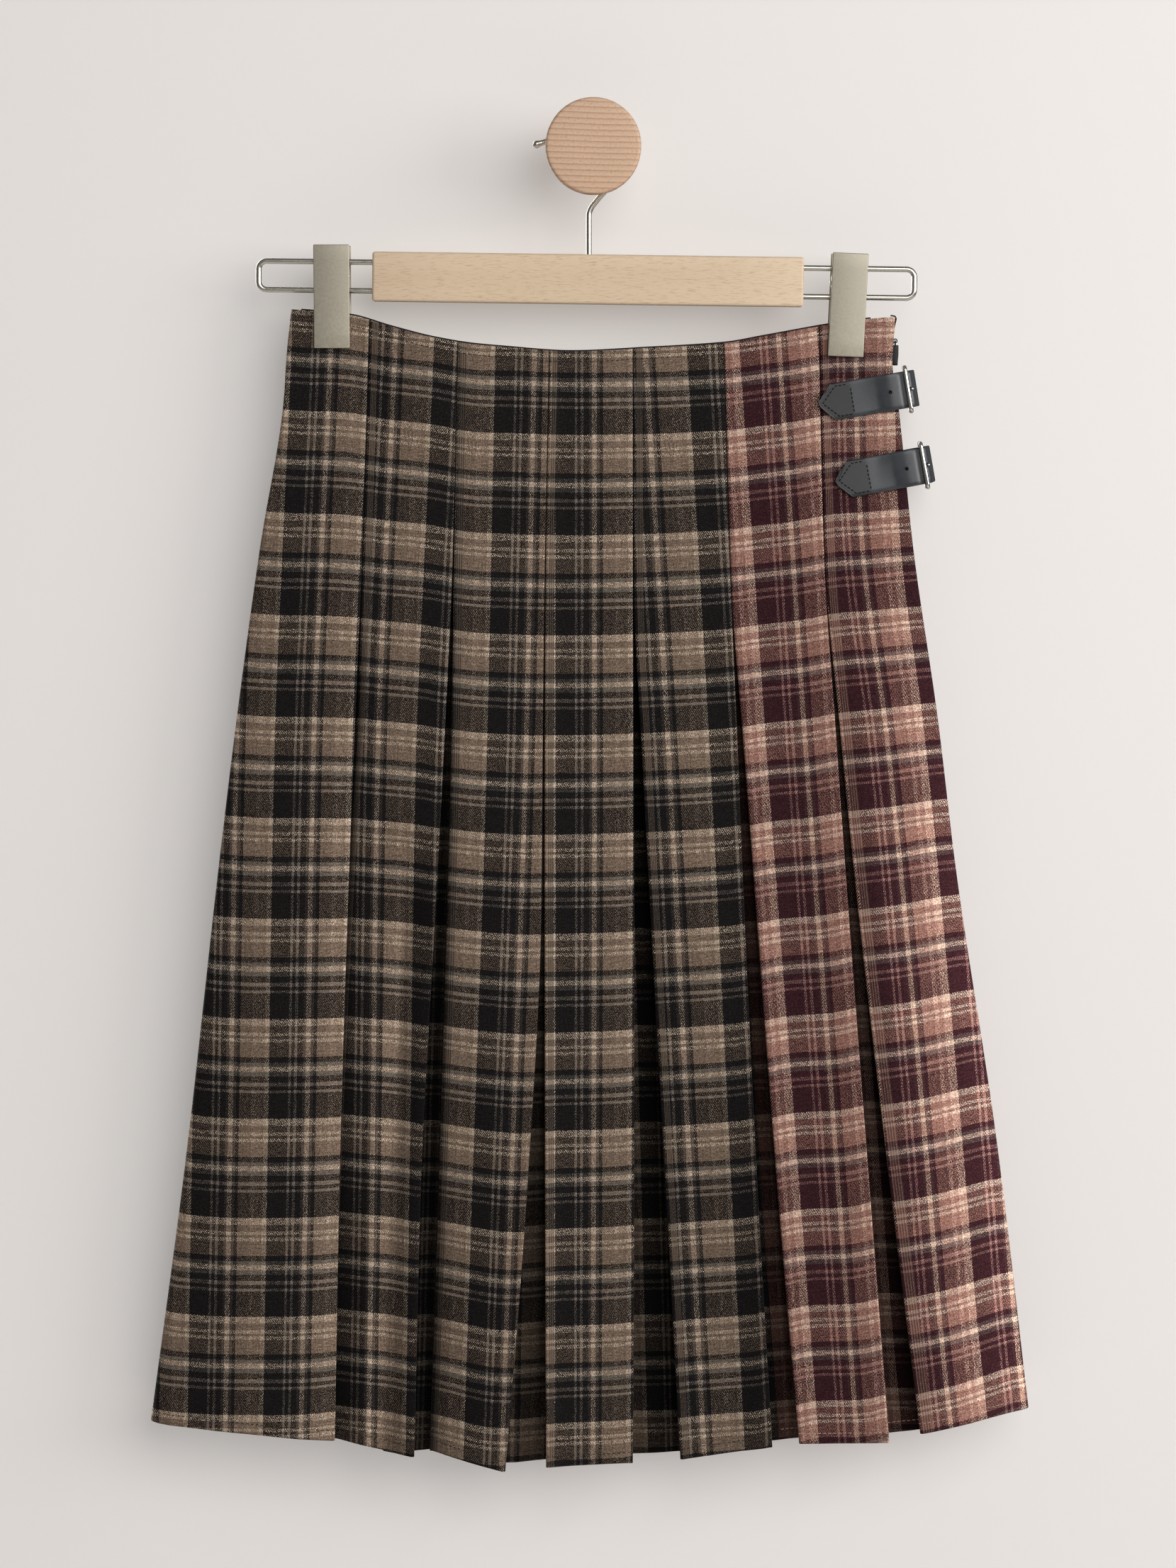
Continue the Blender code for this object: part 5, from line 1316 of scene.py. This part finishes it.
def make_strap(name, frame):
    """A strip along the cloth, under the front bar, round the pivot in a circle and back behind."""
    flat, under = frame.front, frame.under_bar
    path = [(s, frame.on_cloth("front", s, ON_CLOTH)) for s in (STRAP_TIP, -50.0, -44.5, -39.0, -34.5, LIFTS_AT)]
    path += [(-20.0, flat - 0.2), (-15.0, flat - 1.0), (-10.5, flat - 1.5), (-6.0, flat - 1.0)]
    path += [(-2.5, under - 0.2), (0.5, under + 0.1)]
    radius = frame.back - frame.pivot[1] + 0.1
    turned = frame.round_pivot(radius, range(-40, 81, 15))
    path += [(3.2, under + 0.2 * (turned[0][1] - under))] + turned
    over_chape = ON_CLOTH + LEATHER + WRAP_PLAY
    for s in (-6.0, -11.0, -16.0, -22.0, LIFTS_AT, -34.0, -40.0, -46.0, -52.0):
        path.append((s, np.maximum(frame.back, frame.on_cloth("back", s, over_chape))))
    strip = skin(leather_strip(frame, path, True))
    strap = solid_piece(f"strap_{name}_leather", leather.material, strip, sharp=50)
    start, end = [frame.point(*place) for place in prong_line(frame)]
    aim = unit(end - start)
    hole = frame.point(STRAP_HOLE, flat - 1.4)
    bored(strap, [(hole - (0, 4, 0), hole + (0, 4, 0), STRAP_HOLE_RADIUS),
                  (end - aim * 10.5, end + aim * 1.5, PRONG_WIRE + 0.45)])
    strap.data.set_sharp_from_angle(angle=radians(50))
    corners = np.zeros(len(strap.data.vertices) * 3)
    strap.data.vertices.foreach_get("co", corners)
    corners = corners.reshape(-1, 3) / MM
    s = (corners[:, 0] - frame.x) * cos(frame.rise) + (corners[:, 2] - frame.z) * sin(frame.rise)
    # The flat sewn end, whose darker colour is painted shade.
    shaded_flat_end = (1 - fade(s, SEWN_TO - 0.3, SEWN_TO + 0.3)) * (corners[:, 1] < HANG_Y)
    strap.data.attributes.new(name="pressed_and_shaded", type="FLOAT", domain="POINT").data.foreach_set("value", shaded_flat_end)
    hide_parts(f"strap_{name}")


def make_chape(name, frame):
    """A strip along the back and once round the pivot in a circle, with a slot for the prong."""
    path = [(s, frame.on_cloth("back", s, ON_CLOTH)) for s in (-54.0, -48.0, -42.0, -35.0, LIFTS_AT)]
    path += [(-18.0, frame.chape), (-8.0, frame.chape)]
    path += frame.round_pivot(BUCKLE_WIRE + WRAP_PLAY + LEATHER / 2, range(90, -121, -15))
    s, y = frame.pivot
    path.append((-2.6, y - 1.7))
    strip = skin(leather_strip(frame, path, False))
    chape = solid_piece(f"chape_{name}_leather", leather.material, strip, sharp=50)
    bored(chape, [(frame.point(s - 3.6, y - 0.6), frame.point(s + 4.4, y - 0.6), 1.8)])
    chape.data.set_sharp_from_angle(angle=radians(50))
    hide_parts(f"chape_{name}")


# %% [markdown]
# A buckle is one bent wire, four-sided with rounded corners. The prong is a thinner wire that is bent round
# the rear bar and runs forward through the strap until its tip rests on the front bar.

# %% Buckles and prongs
def make_buckle(name, frame):
    """A closed wire: quarter circles at the corners of the rectangle between the two bars."""
    half, bend_r = BUCKLE_HEIGHT / 2 - BUCKLE_WIRE, 2.2
    a, b = np.array(frame.front_bar), np.array(frame.pivot)
    span = np.linalg.norm(b - a)
    corners = [(bend_r, half - bend_r, 90, 180), (bend_r, -(half - bend_r), 180, 270),
               (span - bend_r, -(half - bend_r), 270, 360), (span - bend_r, half - bend_r, 0, 90)]
    loop = []
    for along, w, turn_from, turn_to in corners:
        turn = np.radians(np.linspace(turn_from, turn_to, 8))
        s, y = a[:, None] + (b - a)[:, None] * (along + bend_r * np.cos(turn)) / span
        loop.append(frame.point(s, y, w + bend_r * np.sin(turn)))
    loop = np.concatenate(loop)
    flat_normal = unit(np.cross(frame.across(), frame.point(*b) - frame.point(*a)))
    ring = tube(loop, BUCKLE_WIRE, flat_normal, 18, closed=True)
    ring = skin(np.concatenate([ring, ring[:1]]), capped=False)
    buckle = solid_piece(f"buckle_{name}_frame", polished.material, ring, sharp=80)
    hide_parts(f"buckle_{name}")


def make_prong(name, frame):
    """A wire three quarters round the pivot, then straight on, thinner over its last places."""
    wrap = BUCKLE_WIRE + WRAP_PLAY + PRONG_WIRE
    hooked = frame.round_pivot(wrap, np.linspace(-75, 180, 34))
    line = np.array(prong_line(frame))
    straight = line[0] + (line[1] - line[0]) * np.array([0.15, 0.3, 0.5, 0.7, 0.85, 0.95, 0.985, 1.0])[:, None]
    prong_path = np.concatenate([hooked, straight])
    thick = np.concatenate([np.full(len(prong_path) - 3, 1.0), [0.95, 0.75, 0.35]]) * PRONG_WIRE
    rings = tube(frame.point(prong_path[:, 0], prong_path[:, 1]), thick, unit(frame.across()), 14)
    prong = solid_piece(f"prong_{name}_wire", polished.material, skin(rings), sharp=80)
    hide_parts(f"prong_{name}")


for name, place in STRAPS.items():
    STRAPS[name] = StrapFrame(*place)
    for make in (make_strap, make_chape, make_buckle, make_prong):
        make(name, STRAPS[name])
    print(f"strap, chape, buckle and prong {name} made")


# %% Stitches on the straps
def on_strap(frame_of, s, w, out=LEATHER / 2 + 0.03):
    """Places on the outer face of the sewn part of a strap."""
    x, _, z = np.moveaxis(frame_of.point(s, 0.0, w), -1, 0)
    return frame_of.point(s, outer_y("front", x, z, ON_CLOTH + out), w)


STRAP_STITCH = {"pitch": 2.6, "share": 0.72, "radius": 0.36, "rise": 0.25}
for name, frame_of in STRAPS.items():
    edge = STRAP_WIDTH / 2 - 2.0
    corner = STRAP_TIP + STRAP_POINT + 0.6
    outline = np.array([(SEWN_TO, -edge), (corner, -edge), (STRAP_TIP + 2.6, 0.0), (corner, edge), (SEWN_TO, edge)])
    outline, _ = along_path(outline, np.linspace(0, 60, 200))
    across = np.linspace(-edge, edge, 60)
    skins = []
    for s, w in ((outline[:, 0], outline[:, 1]), (0 * across + SEWN_TO, across)):
        forward = np.tile([0.0, -1.0, 0.0], (len(w), 1))
        skins += stitch_line(on_strap(frame_of, s, w), forward, **STRAP_STITCH)
    print(f"strap_{name}: {len(skins)} stitches")
    sewn = solid_piece(f"strap_{name}_stitches", leather_thread, *skins, sharp=80)

# %% [markdown]
# ## Zip
# A zip closes the right side seam. Two tapes lie inside the seam with a row of small teeth on each, open a
# little at the top. The slider sits below, its ring stands out of the seam, and the pull tab swings on it.
# A sliver of the tape's end curls out at the corner, narrow enough for the tab to swing past it.

# %% Zip sizes and finishes
ZIP_LENGTH, ZIP_TAPE_WIDTH, ZIP_TAPE_THICK = 180.0, 9.0, 1.0
ZIP_TOP = WAIST_Z[-1] - 1.2
ZIP_FLARE = (1.2, 1.0, 0.0)  # how far each tape lies out from the seam where ZIP_OPEN has it open
ZIP_EYE, EYE_RADIUS, EYE_WIRE = (187.5, -118.3), 1.15, 0.35
SEAM_LENGTH, SEAM_DROP = 700.0, 690.0  # along the side seam, and straight down
TOOTH, TOOTH_PITCH = (2.0, 0.9, 0.8), 1.6
tape_cloth = Finish("black_zip_tape", (14, 14, 15), 0.85, Specular_IOR_Level=0.1)
ribbing = tape_cloth.noise(tape_cloth.place((400, 400, 2400)), 1.0, 1.0)
tape_cloth.colour(tape_cloth.ramp(ribbing, [(0.3, linear((8, 8, 9))), (0.7, linear((22, 22, 23)))]))
tape_cloth.bump(ribbing, 0.0002)
lacquer = Finish("black_zip_metal", (14, 14, 15), 0.4, Specular_IOR_Level=0.35)
worn = lacquer.noise(lacquer.place(), 700.0, 2.0)
lacquer.colour(lacquer.mix(worn, linear((8, 8, 9)), linear((24, 24, 26))))
lacquer.roughness(lacquer.math("MULTIPLY_ADD", worn, 0.2, 0.34))

# %% Tapes and teeth
for face in ("front", "back"):
    rows = np.linspace(0, ZIP_LENGTH / SEAM_LENGTH, 60)[:, None]
    edge = seam_x("right", rows) - 2.2
    z = ZIP_TOP - rows * SEAM_DROP
    flare = np.interp(rows, ZIP_OPEN[0], ZIP_FLARE)
    r = ZIP_TAPE_THICK / 2
    section = np.array([(0, 0.5), (0.25, 0.85), (0.6, 1.0), (3, 1), (6, 1), (8.4, 1), (8.75, 0.85), (9, 0.5),
                        (9, -0.5), (8.75, -0.85), (8.4, -1), (6, -1), (3, -1), (0.6, -1), (0.25, -0.85), (0, -0.5)])
    x = edge - section[:, 0]
    y = seam_y(rows) - INTO[face] * (r + GAP + flare * (1 - section[:, 0] / ZIP_TAPE_WIDTH)) + r * section[:, 1]
    tape = skin(np.stack([x, y, z + 0 * x], axis=-1))
    made = solid_piece(f"zip_tape_{face}_woven", tape_cloth.material, tape, sharp=80)
    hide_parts(f"zip_tape_{face}")
    teeth = []
    for number in range(int(ZIP_LENGTH / TOOTH_PITCH) - 3):
        down = (number + (2.0 if face == "front" else 2.5)) * TOOTH_PITCH
        row = down / SEAM_LENGTH
        tooth_x = seam_x("right", row) - 1.9
        tooth_y = seam_y(row) - INTO[face] * (0.55 + np.interp(row, ZIP_OPEN[0], ZIP_FLARE))
        teeth.append(skin(moved(block(TOOTH, 0.25, 2), (tooth_x, tooth_y, ZIP_TOP - down))))
    print(f"zip_tape_{face}: {len(teeth)} teeth")
    teeth = solid_piece(f"zip_teeth_{face}", lacquer.material, *teeth, sharp=50)

# %% Curled end
CURL_X = (184.5, 187.0, 187.9, 187.5, 186.9, 186.1)
CURL_Z = (-102.7, -103.1, -104.8, -106.8, -109.2, -111.8)
tape_end, tape_drop = [smooth_curve(range(6), table, np.linspace(0, 5, 40)) for table in (CURL_X, CURL_Z)]
curl = np.stack([tape_end, np.full(40, HANG_Y), tape_drop], axis=-1)
lean = unit(np.gradient(curl, axis=0))[:, [2, 1, 0]] * (-1, 0, 1)
edges = np.array([(0.4, -0.8), (0.4, 0.8), (0.25, 1.0), (-0.25, 1.0), (-0.4, 0.8), (-0.4, -0.8), (-0.25, -1.0),
                  (0.25, -1.0)])
rings = curl[:, None] + lean[:, None] * edges[:, :1] + np.array([0.0, 1.0, 0.0]) * edges[:, 1:]
solid_piece("zip_tape_curled_end", tape_cloth.material, skin(rings), sharp=60)
print(f"tape end curls out to x = {max(CURL_X):.1f} mm")

# %% [markdown]
# The slider is a small rounded body with a ring, and the tab hangs on the ring by a four-sided bail. The tab
# swings about the ring, so it rides on a body of its own.

# %% Slider and pull tab
eye_x, eye_z = ZIP_EYE
turn = np.linspace(0, 2 * pi, 28, endpoint=False)
eye = np.stack([eye_x + EYE_RADIUS * np.cos(turn), np.full(28, HANG_Y), eye_z + EYE_RADIUS * np.sin(turn)], -1)
eye = tube(eye, EYE_WIRE, (0, 1, 0), 12, closed=True)
body_of_slider = moved(block((4.6, 0.9, 3.2), 0.4, 4), (eye_x - 2.5, HANG_Y, eye_z), upright=True)
slider = solid_piece("zip_slider_body", lacquer.material, skin(body_of_slider),
                     skin(np.concatenate([eye, eye[:1]]), capped=False), sharp=50)
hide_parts("zip_slider")

ZIP_TAB, ZIP_TAB_DROP, BAIL_HALF, BAIL_WIRE = (1.2, 4.2, 12.6), 2.6, 1.15, 0.4
tab_block = block((ZIP_TAB[2], ZIP_TAB[0], ZIP_TAB[1]), 0.55, 5, (5, 1))
tab_block[..., 2] *= 1 - 0.22 * fade(-tab_block[..., :1], -1.0, 5.5)[..., 0]
tab_plate = moved(tab_block, (eye_x, HANG_Y, eye_z - ZIP_TAB_DROP - ZIP_TAB[2] / 2), upright=True)
half, low = BAIL_HALF, -ZIP_TAB_DROP
bail = np.array([(-half, -0.4), (-half, low - 0.2), (-half + 0.4, low - 0.6), (half - 0.4, low - 0.6),
                 (half, low - 0.2), (half, -0.4), (half - 0.4, 0), (-half + 0.4, 0)])
bail = np.stack([np.full(8, eye_x), HANG_Y + bail[:, 0], eye_z + bail[:, 1]], -1)
bail = tube(bail, BAIL_WIRE, (1, 0, 0), 10, closed=True)
bail = skin(np.concatenate([bail, bail[:1]]), capped=False)
tab = solid_piece("pull_tab_cast", lacquer.material, skin(tab_plate), bail, body=TAB_BODY, sharp=50)
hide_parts("pull_tab")
print(f"pull tab {ZIP_TAB[2]:.1f} mm long on {TAB_BODY}")
